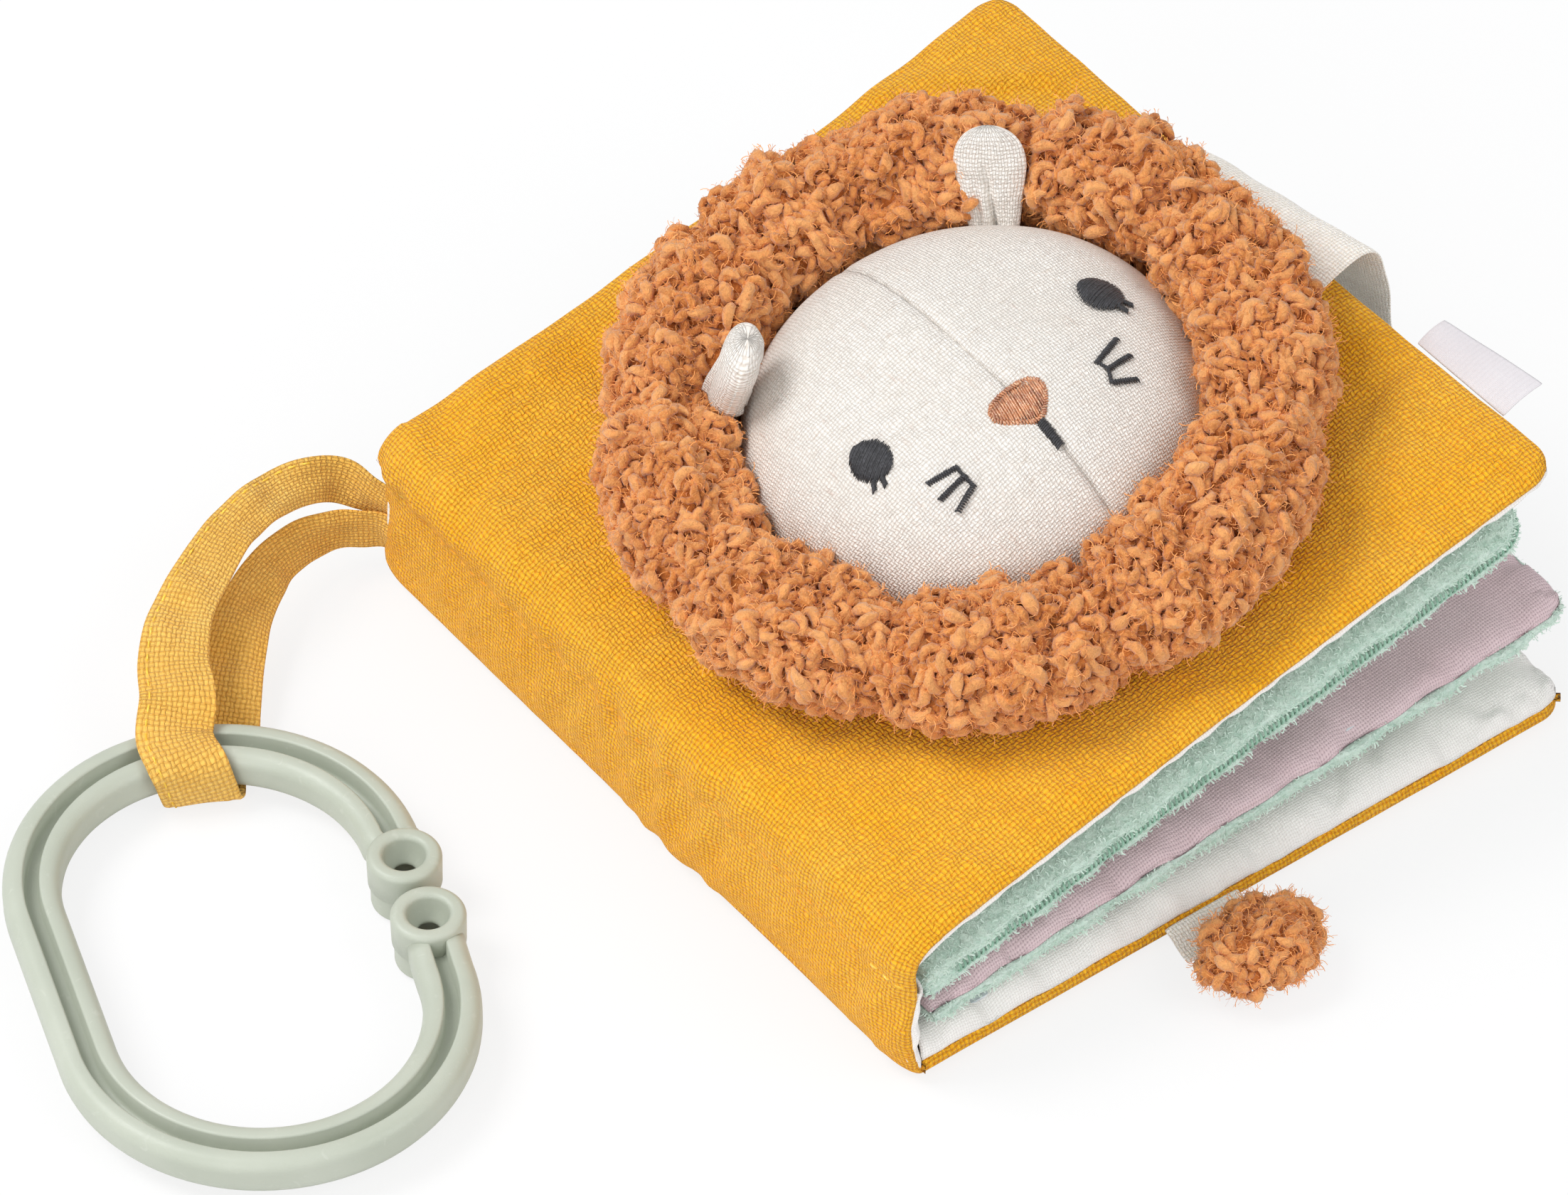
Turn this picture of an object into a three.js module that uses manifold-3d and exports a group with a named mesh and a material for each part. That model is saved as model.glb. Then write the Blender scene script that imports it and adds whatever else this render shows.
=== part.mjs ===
// A baby's crinkle cloth book with a stuffed lion's head on its cover, in millimetres, +Z up.
// The book lies on its back cover. +X runs from the spine to the fore edge and +Y from the
// bottom edge to the top edge. The origin is the centre of the back cover's flat underside.
import * as THREE from "three";
import { mergeVertices } from "three/addons/utils/BufferGeometryUtils.js";
import Module from "manifold-3d";

const wasm = await Module();
wasm.setup();

// Driving sizes of the book
const coverWidth = 141; // from the stitched hinge line to the fore edge
const coverHeight = 149; // from the bottom edge to the top edge
const cornerRadius = 6;
const clothThickness = 1.0; // the puffed outer and lining cloths
const filmThickness = 0.4;
const clearance = 0.3; // between touching pieces

// Back cover
const backEdgeRadius = 7; // how far from its edge the padded panel is rounded
const backSeamLevel = 2.4; // underside of the outer cloth where the two cloths meet
const backTopLevel = 8.2; // top of the lining away from the edges
const backOverhang = 1.6; // it reaches past the front cover's width by this
const backOuterThickness = 1.6;

// Spine
const spineHeight = 21.6;
const spineBulge = 0.8; // how far it stands out past the hinge line
const spineFootInset = 4.2; // its foot curls in under the book, up to the back cover
const spineTuck = 2.2; // its top end is drawn in under the hang loop
const spineInnerFace = 5.2; // lining's inner face, from the hinge line
const spineEndInset = 1.2; // wadding and lining stop short of the ends

// Front cover
const hingeOffset = 0.4; // hinge axis, in from the book's left side
const hingeLevel = 22;
const coverTilt = THREE.MathUtils.degToRad(13.4);
const coverOuterLevel = 9.7; // outer face above the hinge axis, square to the cover
const coverSeamLevel = 7.8;
const coverLiningLevel = 4.6; // inner face of the lining above the hinge axis
const coverEdgeRadius = 7;
const shoulderLength = 9; // the cover rises from the hinge line to its full height over this
const lipLevel = 0.9; // top of the cloth right at the hinge line
const liningStart = 2.5; // the lining's sewn edge, from the hinge line

// Leaves: half thickness, hinge place, tilt and length of each
const leafHalf = 3.2;
const leafEdgeHalf = 1.25; // half thickness at the seam round the leaf
const leafShell = 1.4; // plush or cotton with its backing
const leafEdgeRadius = 5;
const leafSeamGap = 0.15; // from the leaf's mid plane to each cloth
const leafRoot = 3; // how far the rounded root reaches behind the leaf's hinge
const leafEndInset = 1.5; // the leaves are a little shorter than the cover, at each end
const upperLeafShort = 14.5; // shorter than the cover by this
const lowerLeafShort = 7.5;
const upperLeaf = {
  hinge: 8.7,
  level: 19.2,
  tilt: THREE.MathUtils.degToRad(13.6),
  length: coverWidth - upperLeafShort,
};
const lowerLeaf = {
  hinge: 10.5,
  level: 11.9,
  tilt: THREE.MathUtils.degToRad(5.2),
  length: coverWidth - lowerLeafShort,
};

// Lion's head, centred on the front cover's face
const headX = 75; // from the hinge line, along the cover
const headY = 71.7;
const maneRadius = 51; // centre line of the stuffed ring
const maneHalfWidth = 12.8;
const maneHalfHeight = 10.7;
const manePinchDepth = 2.3; // how far the stitched tucks draw the ring in
const manePinchWidth = THREE.MathUtils.degToRad(7);
const manePinchAngles = [3, 38, 76, 98, 137, 176, 216, 256, 310].map(THREE.MathUtils.degToRad);
const maneBackingHalf = 7;
const maneBackingThickness = 0.8;
const faceRadius = 40.2;
const faceCrown = 22.5;
const faceRim = 1.2; // straight band below the dome
const seamX = 2.3; // the face's seam and features sit this far right of its middle
const facePanel = 1.3; // linen with its fusible backing
const stitchThickness = 0.7; // satin stitch standing proud of the linen
const earWidth = 13;
const earLength = 15.5;
const earThickness = 3;
const earPleat = 1.1; // depth of the pleat pinched in at its root
const rightEarInset = 3.7; // each root stands this far inside the face's outline
const leftEarInset = 2.2;
const leftEarDrop = 1.7; // sewn this much deeper in the mane than the right one

// Embroidery, from the seam down the face
const eyeX = 24.6;
const eyeY = -3.4;
const eyeHalfWidth = 3.5;
const eyeHalfHeight = 4.1;
const lashLength = 2.6;
const lashWidth = 1.1;
const noseY = -14.4;
const noseWidth = 9.6;
const noseHeight = 8;
const mouthTop = -18.6;
const mouthLength = 5.4;
const mouthWidth = 1.8;
const whiskerX = 15.1;
const whiskerY = -17.4;
const whiskerLength = 5.4;
const whiskerPitch = 2.1;
const whiskerWidth = 0.9;

// Closure strap, label
const strapWidth = 40;
const strapY = 73.5;
const strapThickness = 1.4;
const strapHold = 7.8; // the band lies on the cover's edge over this length
const strapOverhang = 6; // and folds this far beyond it
const flapLength = 47;
const flapLean = 5; // the hanging end stands this far out from the fold
const patchLength = 16;
const patchThickness = 0.9;
const labelY = 26;
const labelWidth = 22;
const labelReach = 9;
const labelThickness = 0.6;

// Hang loop and ring
const loopWidth = 13;
const loopThickness = 1.5;
const loopReach = 60; // from its sewn end to the ring
const loopRootX = 4.5; // its upper end is sewn here, in from the book's left side
const loopRootGap = 0.9; // beyond the spine's end
const loopRootLevel = 14.4;
const ringCentre = new THREE.Vector2(-71.2, 84.7); // from the book's bottom spine corner
const ringTurn = THREE.MathUtils.degToRad(-19);
const ringHalfStraight = 15.9;
const ringBendRadius = 30.1; // centre line of the bar
const ringBarWidth = 9.7;
const ringBarHeight = 7.8;
const ringBarLevel = 2.4; // the strap passes under the bar
const ringBarFillet = 3.4;
const grooveWidth = 2.6;
const grooveDepth = 3.6;
const grooveEnd = 3; // the groove stops short of the eyelets
const eyeletSpacing = 13.8;
const eyeletRadius = 6.3;
const eyeletTop = 11.2;
const eyeletBottom = 0.25;
const eyeletStep = 4.2; // height of the narrower skirt
const eyeletStepInset = 0.5;
const eyeletFillet = 1.1;
const eyeletBore = 1.7; // radius right through
const eyeletSink = 3.5; // radius of the funnel at the top
const eyeletSinkDepth = 4.5;
const ventRadius = 0.7; // small moulded hole in the groove
const wrapAlong = 4.2; // the strap crosses the ring's end this far from the middle of the bend
const wrapShift = 2.6; // the strap runs along the bar by this as it goes round each half
const tableGap = 0.4; // the strap's underside above the table

// Tail
const tailX = 62.3; // from the book's left side
const tapeWidth = 15.5;
const tapeThickness = 1;
const tapeLength = 5.4;
const tapeLevel = 2.7; // where it leaves the seam
const tapeRest = 0.5; // where it meets the tuft
const tuftHalfWidth = 12;
const tuftLength = 17;
const tuftHalfHeight = 6.1;

const overrun = 1; // cutters pass the surfaces they cut by this

// Materials
function finish(color, roughness) {
  return new THREE.MeshStandardMaterial({ color, roughness, metalness: 0 });
}
const mustardGauze = finish(0xf0b432, 0.95);
const whiteCotton = finish(0xf2f0ec, 0.9);
const wadding = finish(0xf7f7f4, 1);
const crinkleFilm = finish(0xdfe6ea, 0.35);
const mintPlush = finish(0xafd2be, 1);
const mauveCotton = finish(0xbea5aa, 0.85);
const caramelPlush = finish(0xc87d3c, 1);
const linen = finish(0xe8e1d7, 0.95);
const copperThread = finish(0xb4703c, 0.5);
const blackThread = finish(0x26262a, 0.6);
const mustardStrap = finish(0xe0a43a, 0.9);
const sagePlastic = finish(0xbec3b4, 0.4);
const greySatin = finish(0xcdc9c6, 0.45);
const whiteHook = finish(0xf0f0ee, 0.8);

const book = new THREE.Group();
book.position.set(-(hingeOffset + coverWidth + backOverhang) / 2, -coverHeight / 2, 0);

function place(parent, name, geometry, material) {
  const mesh = new THREE.Mesh(geometry, material);
  mesh.name = name;
  parent.add(mesh);
  return mesh;
}

// A closed body from a grid of low points and a grid of high points.
function slab(columns, rows, low, high) {
  const nx = columns.length;
  const ny = rows.length;
  const positions = [];
  for (const surface of [low, high])
    for (const v of rows) for (const u of columns) positions.push(...surface(u, v).toArray());
  const at = (layer, i, j) => layer * nx * ny + j * nx + i;
  const index = [];
  const quad = (a, b, c, d) => index.push(a, b, c, a, c, d);
  for (let j = 0; j + 1 < ny; j++)
    for (let i = 0; i + 1 < nx; i++) {
      quad(at(0, i, j), at(0, i, j + 1), at(0, i + 1, j + 1), at(0, i + 1, j));
      quad(at(1, i, j), at(1, i + 1, j), at(1, i + 1, j + 1), at(1, i, j + 1));
    }
  for (let i = 0; i + 1 < nx; i++) {
    quad(at(0, i, 0), at(0, i + 1, 0), at(1, i + 1, 0), at(1, i, 0));
    quad(at(0, i, ny - 1), at(1, i, ny - 1), at(1, i + 1, ny - 1), at(0, i + 1, ny - 1));
  }
  for (let j = 0; j + 1 < ny; j++) {
    quad(at(0, 0, j), at(1, 0, j), at(1, 0, j + 1), at(0, 0, j + 1));
    quad(at(0, nx - 1, j), at(0, nx - 1, j + 1), at(1, nx - 1, j + 1), at(1, nx - 1, j));
  }
  const geometry = new THREE.BufferGeometry();
  geometry.setAttribute("position", new THREE.Float32BufferAttribute(positions, 3));
  geometry.setIndex(index);
  return geometry;
}

// A closed body from rings of points, each ring one cross-section of the same count.
function loft(rings) {
  const count = rings[0].length;
  const positions = rings.flat().flatMap((p) => p.toArray());
  const index = [];
  for (let k = 0; k + 1 < rings.length; k++)
    for (let i = 0; i < count; i++) {
      const a = k * count + i;
      const b = k * count + ((i + 1) % count);
      index.push(a, b, b + count, a, b + count, a + count);
    }
  return { positions, index, count };
}

function capped(rings, outline) {
  const { positions, index, count } = loft(rings);
  const last = (rings.length - 1) * count;
  for (const [a, b, c] of THREE.ShapeUtils.triangulateShape(outline, [])) {
    index.push(c, b, a);
    index.push(last + a, last + b, last + c);
  }
  const geometry = new THREE.BufferGeometry();
  geometry.setAttribute("position", new THREE.Float32BufferAttribute(positions, 3));
  geometry.setIndex(index);
  return geometry;
}

function solid(geometry) {
  const bare = geometry.index ? geometry.toNonIndexed() : geometry.clone();
  for (const name of Object.keys(bare.attributes)) if (name !== "position") bare.deleteAttribute(name);
  const merged = mergeVertices(bare);
  return new wasm.Manifold(
    new wasm.Mesh({
      numProp: 3,
      vertProperties: new Float32Array(merged.attributes.position.array),
      triVerts: new Uint32Array(merged.index.array),
    }),
  );
}

function geometryOf(manifold) {
  const mesh = manifold.getMesh();
  const geometry = new THREE.BufferGeometry();
  geometry.setAttribute("position", new THREE.BufferAttribute(new Float32Array(mesh.vertProperties), 3));
  geometry.setIndex(new THREE.BufferAttribute(new Uint32Array(mesh.triVerts), 1));
  return geometry;
}

function boxAt(width, depth, height, x, y, z) {
  return solid(new THREE.BoxGeometry(width, depth, height).translate(x, y, z));
}

// Padded panels: grid lines crowd towards the edges, where the cloth rolls over to the seam.
const rollShares = [0, 0.15, 0.55, 1];

function gridLines(start, end, startRoll, endRoll, middleShares) {
  const inner = end - endRoll - (start + startRoll);
  return [
    ...rollShares.map((share) => start + share * startRoll),
    ...middleShares.map((share) => start + startRoll + share * inner),
    ...rollShares.map((share) => end - share * endRoll).reverse(),
  ];
}

// 0 at the edge, 1 from the roll's radius inwards, round in between.
function roll(distance, radius) {
  const left = 1 - Math.min(Math.max(distance / radius, 0), 1);
  return Math.sqrt(1 - left * left);
}

// Rounds a panel's corners: the square at each corner is drawn to a quarter disc.
function rounded(u, v, left, right, bottom, top, radius) {
  const centreU = THREE.MathUtils.clamp(u, left + radius, right - radius);
  const centreV = THREE.MathUtils.clamp(v, bottom + radius, top - radius);
  const p = (u - centreU) / radius;
  const q = (v - centreV) / radius;
  return new THREE.Vector2(
    centreU + radius * p * Math.sqrt(1 - (q * q) / 2),
    centreV + radius * q * Math.sqrt(1 - (p * p) / 2),
  );
}

const middleShares = [0.33, 0.67];

// Back cover
const backStart = spineInnerFace + clearance;
const backEnd = hingeOffset + coverWidth + backOverhang;
const backColumns = gridLines(backStart, backEnd, backEdgeRadius, backEdgeRadius, middleShares);
const backRows = gridLines(0, coverHeight, backEdgeRadius, backEdgeRadius, middleShares);
const backRoll = (x, y) => roll(Math.min(backEnd - x, y, coverHeight - y), backEdgeRadius);
function backSurface(level) {
  return (x, y) => {
    const p = rounded(x, y, backStart - cornerRadius, backEnd, 0, coverHeight, cornerRadius);
    return new THREE.Vector3(p.x, p.y, level(backRoll(x, y)));
  };
}
const backBottom = (share) => backSeamLevel * (1 - share);
const backOuterTop = (share) => backBottom(share) + clothThickness + (backOuterThickness - clothThickness) * share;
const backEdgeTop = backSeamLevel + 2 * clothThickness + clearance;
const backTop = (share) => backEdgeTop + (backTopLevel - backEdgeTop) * share;
const backLiningBottom = (share) => backTop(share) - clothThickness;
const backFilmTop = (share) => backLiningBottom(share) - clearance;
const backFilmBottom = (share) => backFilmTop(share) - filmThickness;
const insideColumns = backColumns.slice(2, -2);
const insideRows = backRows.slice(2, -2);

const outerPatch = {
  x: backEnd - backEdgeRadius - patchLength / 2,
  width: strapWidth - 2 * clothThickness,
};
const patchPocket = boxAt(
  patchLength + 2 * clearance,
  outerPatch.width + 2 * clearance,
  2 * (patchThickness + clearance / 2),
  outerPatch.x,
  strapY,
  0,
);
const backOuter = solid(slab(backColumns, backRows, backSurface(backBottom), backSurface(backOuterTop)));
place(book, "back_cover_outer", geometryOf(backOuter.subtract(patchPocket)), mustardGauze);
place(
  book,
  "loop_patch",
  new THREE.BoxGeometry(patchLength, outerPatch.width, patchThickness - clearance),
  whiteHook,
).position.set(outerPatch.x, strapY, (patchThickness + clearance / 2) / 2);
place(
  book,
  "back_cover_padding",
  slab(
    insideColumns,
    insideRows,
    backSurface((share) => backOuterTop(share) + clearance),
    backSurface((share) => backFilmBottom(share) - clearance),
  ),
  wadding,
);
place(
  book,
  "back_cover_crinkle_film",
  slab(insideColumns, insideRows, backSurface(backFilmBottom), backSurface(backFilmTop)),
  crinkleFilm,
);
place(
  book,
  "back_cover_lining",
  slab(backColumns, backRows, backSurface(backLiningBottom), backSurface(backTop)),
  whiteCotton,
);

// Spine: three upright layers, the outer one a shallow C that curls in at its foot
const spineLevelShares = [0, 0.06, 0.18, 0.35, 0.55, 0.75, 0.9, 1];
const spineRowShares = [0, 0.03, 0.2, 0.45, 0.7, 0.88, 0.97, 1];
const spineLevels = spineLevelShares.map((share) => share * spineHeight);
const spineRows = spineRowShares.map((share) => share * coverHeight);
const spineFootShare = 0.5; // share of the height over which the foot curls in
function spineFace(z, y) {
  const height = z / spineHeight;
  const foot = 1 - roll(height, spineFootShare);
  const bow = Math.sin(Math.PI * Math.min(height, 1));
  const drawn = spineTuck * (y / coverHeight) ** 3;
  return hingeOffset - spineBulge * bow + (spineFootInset - hingeOffset) * foot + drawn * (1 - foot);
}
const spinePoint = (x, y, z) => new THREE.Vector3(x, y, z);
place(
  book,
  "spine_outer",
  slab(
    spineRows,
    spineLevels,
    (y, z) => spinePoint(spineFace(z, y), y, z),
    (y, z) => spinePoint(spineFace(z, y) + clothThickness, y, z),
  ),
  mustardGauze,
);
const innerLevels = spineLevels.slice(2, -1);
const innerRows = [spineEndInset, ...spineRows.slice(2, -2), coverHeight - spineEndInset];
place(
  book,
  "spine_padding",
  slab(
    innerRows,
    innerLevels,
    (y, z) => spinePoint(spineFace(z, y) + clothThickness + clearance, y, z),
    (y, z) => spinePoint(spineInnerFace - clothThickness - clearance, y, z),
  ),
  wadding,
);
place(
  book,
  "spine_lining",
  slab(
    innerRows,
    innerLevels,
    (y, z) => spinePoint(spineInnerFace - clothThickness, y, z),
    (y, z) => spinePoint(spineInnerFace, y, z),
  ),
  whiteCotton,
);

// Front cover, in its own frame: X along the cover from the hinge axis, Z square to it
const frontCover = new THREE.Group();
frontCover.position.set(hingeOffset, 0, hingeLevel);
frontCover.rotation.y = -coverTilt;
book.add(frontCover);

const hingeRollShares = [0, 0.06, 0.18, 0.42];
const frontColumns = [
  ...hingeRollShares.map((share) => share * shoulderLength),
  ...gridLines(0, coverWidth, shoulderLength, coverEdgeRadius, middleShares).slice(rollShares.length - 1),
];
const frontRows = gridLines(0, coverHeight, coverEdgeRadius, coverEdgeRadius, middleShares);
const frontRoll = (u, y) => roll(Math.min(coverWidth - u, y, coverHeight - y), coverEdgeRadius);
function frontOuterLevel(u, y) {
  const flat = coverSeamLevel + (coverOuterLevel - coverSeamLevel) * frontRoll(u, y);
  return lipLevel + (flat - lipLevel) * roll(u, shoulderLength);
}
const frontLiningEdge = coverSeamLevel - 2 * clothThickness - clearance;
function frontLiningLevel(u, y) {
  const flat = frontLiningEdge + (coverLiningLevel - frontLiningEdge) * frontRoll(u, y);
  return lipLevel + (flat - lipLevel) * roll(u - liningStart + clothThickness - clearance, shoulderLength);
}
function frontPoint(u, y, level) {
  const p = rounded(u, y, -cornerRadius, coverWidth, 0, coverHeight, cornerRadius);
  return new THREE.Vector3(p.x, p.y, level);
}
// Inner side of the outer cloth: the steep shoulder needs its thickness square to the slope.
function underOuter(depth) {
  return (u, y) => {
    const step = shoulderLength / 100;
    const slope = (frontOuterLevel(u + step, y) - frontOuterLevel(Math.max(u - step, 0), y)) / (2 * step);
    const steepness = u < shoulderLength ? Math.hypot(1, slope) : 1;
    return frontPoint(u, y, Math.max(frontOuterLevel(u, y) - depth * steepness, lipLevel - clothThickness));
  };
}
place(
  frontCover,
  "front_cover_outer",
  slab(frontColumns, frontRows, underOuter(clothThickness), (u, y) => frontPoint(u, y, frontOuterLevel(u, y))),
  mustardGauze,
);
const liningColumns = [liningStart, ...frontColumns.slice(3)];
const liningAt = (raise) => (u, y) => frontPoint(u, y, frontLiningLevel(u, y) + raise);
place(
  frontCover,
  "front_cover_lining",
  slab(liningColumns, frontRows, liningAt(0), liningAt(clothThickness)),
  whiteCotton,
);
const frontInsideColumns = frontColumns.slice(4, -2);
const frontInsideRows = frontRows.slice(2, -2);
const frontFilmBottom = clothThickness + clearance;
place(
  frontCover,
  "front_cover_crinkle_film",
  slab(
    frontInsideColumns,
    frontInsideRows,
    liningAt(frontFilmBottom),
    liningAt(frontFilmBottom + filmThickness),
  ),
  crinkleFilm,
);
place(
  frontCover,
  "front_cover_padding",
  slab(
    frontInsideColumns,
    frontInsideRows,
    liningAt(frontFilmBottom + filmThickness + clearance),
    underOuter(clothThickness + clearance),
  ),
  wadding,
);

// Leaves: pillows of two cloths that meet in a seam, wadding and film between them
function leaf(name, { hinge, level, tilt, length }, topCloth, topName, bottomName) {
  const group = new THREE.Group();
  group.position.set(hinge, 0, level);
  group.rotation.y = -tilt;
  book.add(group);
  const columns = gridLines(-leafRoot, length, leafRoot, leafEdgeRadius, middleShares);
  const bottom = leafEndInset;
  const top = coverHeight - leafEndInset;
  const rows = gridLines(bottom, top, leafEdgeRadius, leafEdgeRadius, middleShares);
  const share = (u, y) =>
    roll(Math.min(length - u, y - bottom, top - y), leafEdgeRadius) * roll(u + leafRoot, leafRoot);
  const puffed = (u, y) => leafEdgeHalf + (leafHalf - leafEdgeHalf) * share(u, y);
  // Behind the hinge the root is round about it, so that it turns clear of its neighbours.
  const round = (u) => Math.sqrt(leafHalf ** 2 - Math.min(u, 0) ** 2);
  const outside = (u, y) => Math.min(puffed(u, y), round(u));
  const inside = (u, y) => leafSeamGap + (leafHalf - leafShell - leafSeamGap) * share(u, y);
  const surface = (height) => (u, y) => {
    const p = rounded(u, y, -leafRoot - cornerRadius, length, bottom, top, cornerRadius);
    return new THREE.Vector3(p.x, p.y, height(u, y));
  };
  const negative = (height) => (u, y) => -height(u, y);
  const filmTop = (u, y) => inside(u, y) - clearance;
  const filmBottom = (u, y) => filmTop(u, y) - filmThickness;
  place(group, name + "_" + topName, slab(columns, rows, surface(inside), surface(outside)), topCloth);
  place(
    group,
    name + "_" + bottomName,
    slab(columns, rows, surface(negative(outside)), surface(negative(inside))),
    mintPlush,
  );
  const innerColumns = columns.slice(2, -2);
  const innerRows = rows.slice(2, -2);
  place(group, name + "_crinkle_film", slab(innerColumns, innerRows, surface(filmBottom), surface(filmTop)), crinkleFilm);
  place(
    group,
    name + "_padding",
    slab(
      innerColumns,
      innerRows,
      surface(negative((u, y) => inside(u, y) - clearance)),
      surface((u, y) => filmBottom(u, y) - clearance),
    ),
    wadding,
  );
}
leaf("leaf_1", upperLeaf, mintPlush, "front_plush", "back_plush");
leaf("leaf_2", lowerLeaf, mauveCotton, "front_cotton", "back_plush");

// Lion's head: X and Y from the middle of the face, Z from the cover's outer cloth
const head = new THREE.Group();
head.position.set(headX, headY, coverOuterLevel + clearance);
frontCover.add(head);

const turnSteps = 56;
const tubeSteps = 10;
const maneBase = maneBackingThickness + clearance;

function manePinch(angle) {
  return manePinchAngles.reduce((sum, pinch) => {
    const away = Math.atan2(Math.sin(angle - pinch), Math.cos(angle - pinch)) / manePinchWidth;
    return sum + Math.exp(-away * away);
  }, 0);
}
function maneRing(step) {
  const angle = (2 * Math.PI * step) / turnSteps;
  const pinch = manePinchDepth * manePinch(angle);
  const ring = [];
  for (let i = 0; i < tubeSteps; i++) {
    const round = (2 * Math.PI * i) / tubeSteps;
    const side = round > Math.PI ? 0 : pinch;
    const reach = maneRadius + (maneHalfWidth - pinch) * Math.cos(round);
    const height = maneBase + maneHalfHeight + (maneHalfHeight - side) * Math.sin(round);
    ring.push(new THREE.Vector3(reach * Math.cos(angle), reach * Math.sin(angle), height));
  }
  return ring;
}
// The ring of sections closes on itself.
function closedLoft(rings) {
  const count = rings[0].length;
  const { positions, index } = loft(rings);
  const last = (rings.length - 1) * count;
  for (let i = 0; i < count; i++) {
    const next = (i + 1) % count;
    index.push(last + i, last + next, next, last + i, next, i);
  }
  const geometry = new THREE.BufferGeometry();
  geometry.setAttribute("position", new THREE.Float32BufferAttribute(positions, 3));
  geometry.setIndex(index);
  return geometry;
}
const reversedRing = (ring) => [...ring].reverse();
const allTurns = Array.from({ length: turnSteps }, (_, step) => step);
place(head, "mane", closedLoft(allTurns.map((step) => reversedRing(maneRing(step)))), caramelPlush);

const backingProfile = [
  [maneRadius - maneBackingHalf, 0],
  [maneRadius + maneBackingHalf / 2, 0],
  [maneRadius + maneBackingHalf / 2, maneBackingThickness],
  [maneRadius - maneBackingHalf, maneBackingThickness],
  [maneRadius - maneBackingHalf, 0],
].map(([x, y]) => new THREE.Vector2(x, y));
place(
  head,
  "mane_backing",
  new THREE.LatheGeometry(backingProfile, turnSteps).rotateX(Math.PI / 2),
  caramelPlush,
);

// The face is a dome of two linen halves over the stuffing, joined down the middle
const domeSteps = 9;
const faceSegments = 36;
const seamHalfGap = clearance / 2;
const faceRimShare = 0.94; // the dome's foot is drawn in under it

function domeHeight(x, y) {
  const share = Math.min(Math.hypot(x, y) / faceRadius, 1);
  return faceRim + faceCrown * Math.sqrt(1 - share * share);
}
function domeProfile(inset) {
  const points = [new THREE.Vector2(faceRadius * faceRimShare - inset, 0)];
  for (let i = 0; i <= domeSteps; i++) {
    const angle = ((Math.PI / 2) * i) / domeSteps;
    const reach = i === domeSteps ? 0 : (faceRadius - inset) * Math.cos(angle);
    points.push(new THREE.Vector2(reach, faceRim + (faceCrown - inset) * Math.sin(angle)));
  }
  return points;
}
function turned(profile, segments) {
  return new THREE.LatheGeometry(profile, segments).rotateX(Math.PI / 2);
}
const shellProfile = [...domeProfile(facePanel).reverse(), ...domeProfile(0)];
const faceShell = solid(turned(shellProfile, faceSegments));
function faceHalf(side) {
  const reach = faceRadius + seamX + overrun;
  const height = 2 * (faceRim + faceCrown + overrun);
  return faceShell.subtract(boxAt(reach, 2 * reach, height, seamX + side * (reach / 2 - seamHalfGap), 0, 0));
}
place(head, "face_left_panel", geometryOf(faceHalf(1)), linen);
place(head, "face_right_panel", geometryOf(faceHalf(-1)), linen);
const stuffingInset = facePanel + 2 * clearance;
const stuffingProfile = [new THREE.Vector2(0, 0), ...domeProfile(stuffingInset)];
place(head, "face_stuffing", turned(stuffingProfile, faceSegments), wadding);

// Embroidery lies on the dome: an outline in face coordinates, followed by the curved surface
function stitched(shape, divisions) {
  const outline = shape.extractPoints(divisions).shape;
  const distinct = outline.filter((p, i) => i === 0 || p.distanceTo(outline[0]) > stitchThickness / 100);
  if (THREE.ShapeUtils.isClockWise(distinct)) distinct.reverse();
  const onDome = (x, y, raise) => new THREE.Vector3(x, y, domeHeight(x, y) + raise);
  const level = (raise) => distinct.map((p) => onDome(seamX + p.x, p.y, raise));
  const gap = clearance + stitchThickness / 10;
  return capped([level(gap), level(gap + stitchThickness)], distinct);
}
function bar(x, y, length, width, angle) {
  const along = new THREE.Vector2(Math.cos(angle), Math.sin(angle)).multiplyScalar(length / 2);
  const across = new THREE.Vector2(-Math.sin(angle), Math.cos(angle)).multiplyScalar(width / 2);
  const corners = [
    [-1, -1],
    [1, -1],
    [1, 1],
    [-1, 1],
  ];
  return corners.map(
    ([a, b]) => new THREE.Vector2(x + a * along.x + b * across.x, y + a * along.y + b * across.y),
  );
}
function joined(shapes, divisions) {
  return geometryOf(shapes.map((shape) => solid(stitched(shape, divisions))).reduce((a, b) => a.add(b)));
}
const eyeDivisions = 10;
const lashTurns = [1.22, 1.42].map((turn) => turn * Math.PI);
function eyeShapes(side) {
  const eye = new THREE.Shape();
  eye.absellipse(side * eyeX, eyeY, eyeHalfWidth, eyeHalfHeight, 0, 2 * Math.PI);
  const lashes = lashTurns.map((turn) => {
    const angle = side < 0 ? turn : Math.PI - turn;
    const x = side * eyeX + eyeHalfWidth * Math.cos(angle);
    const y = eyeY + eyeHalfHeight * Math.sin(angle);
    return new THREE.Shape(bar(x, y, lashLength, lashWidth, angle));
  });
  return [eye, ...lashes];
}
place(head, "eye_left", joined(eyeShapes(-1), eyeDivisions), blackThread);
place(head, "eye_right", joined(eyeShapes(1), eyeDivisions), blackThread);

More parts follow.
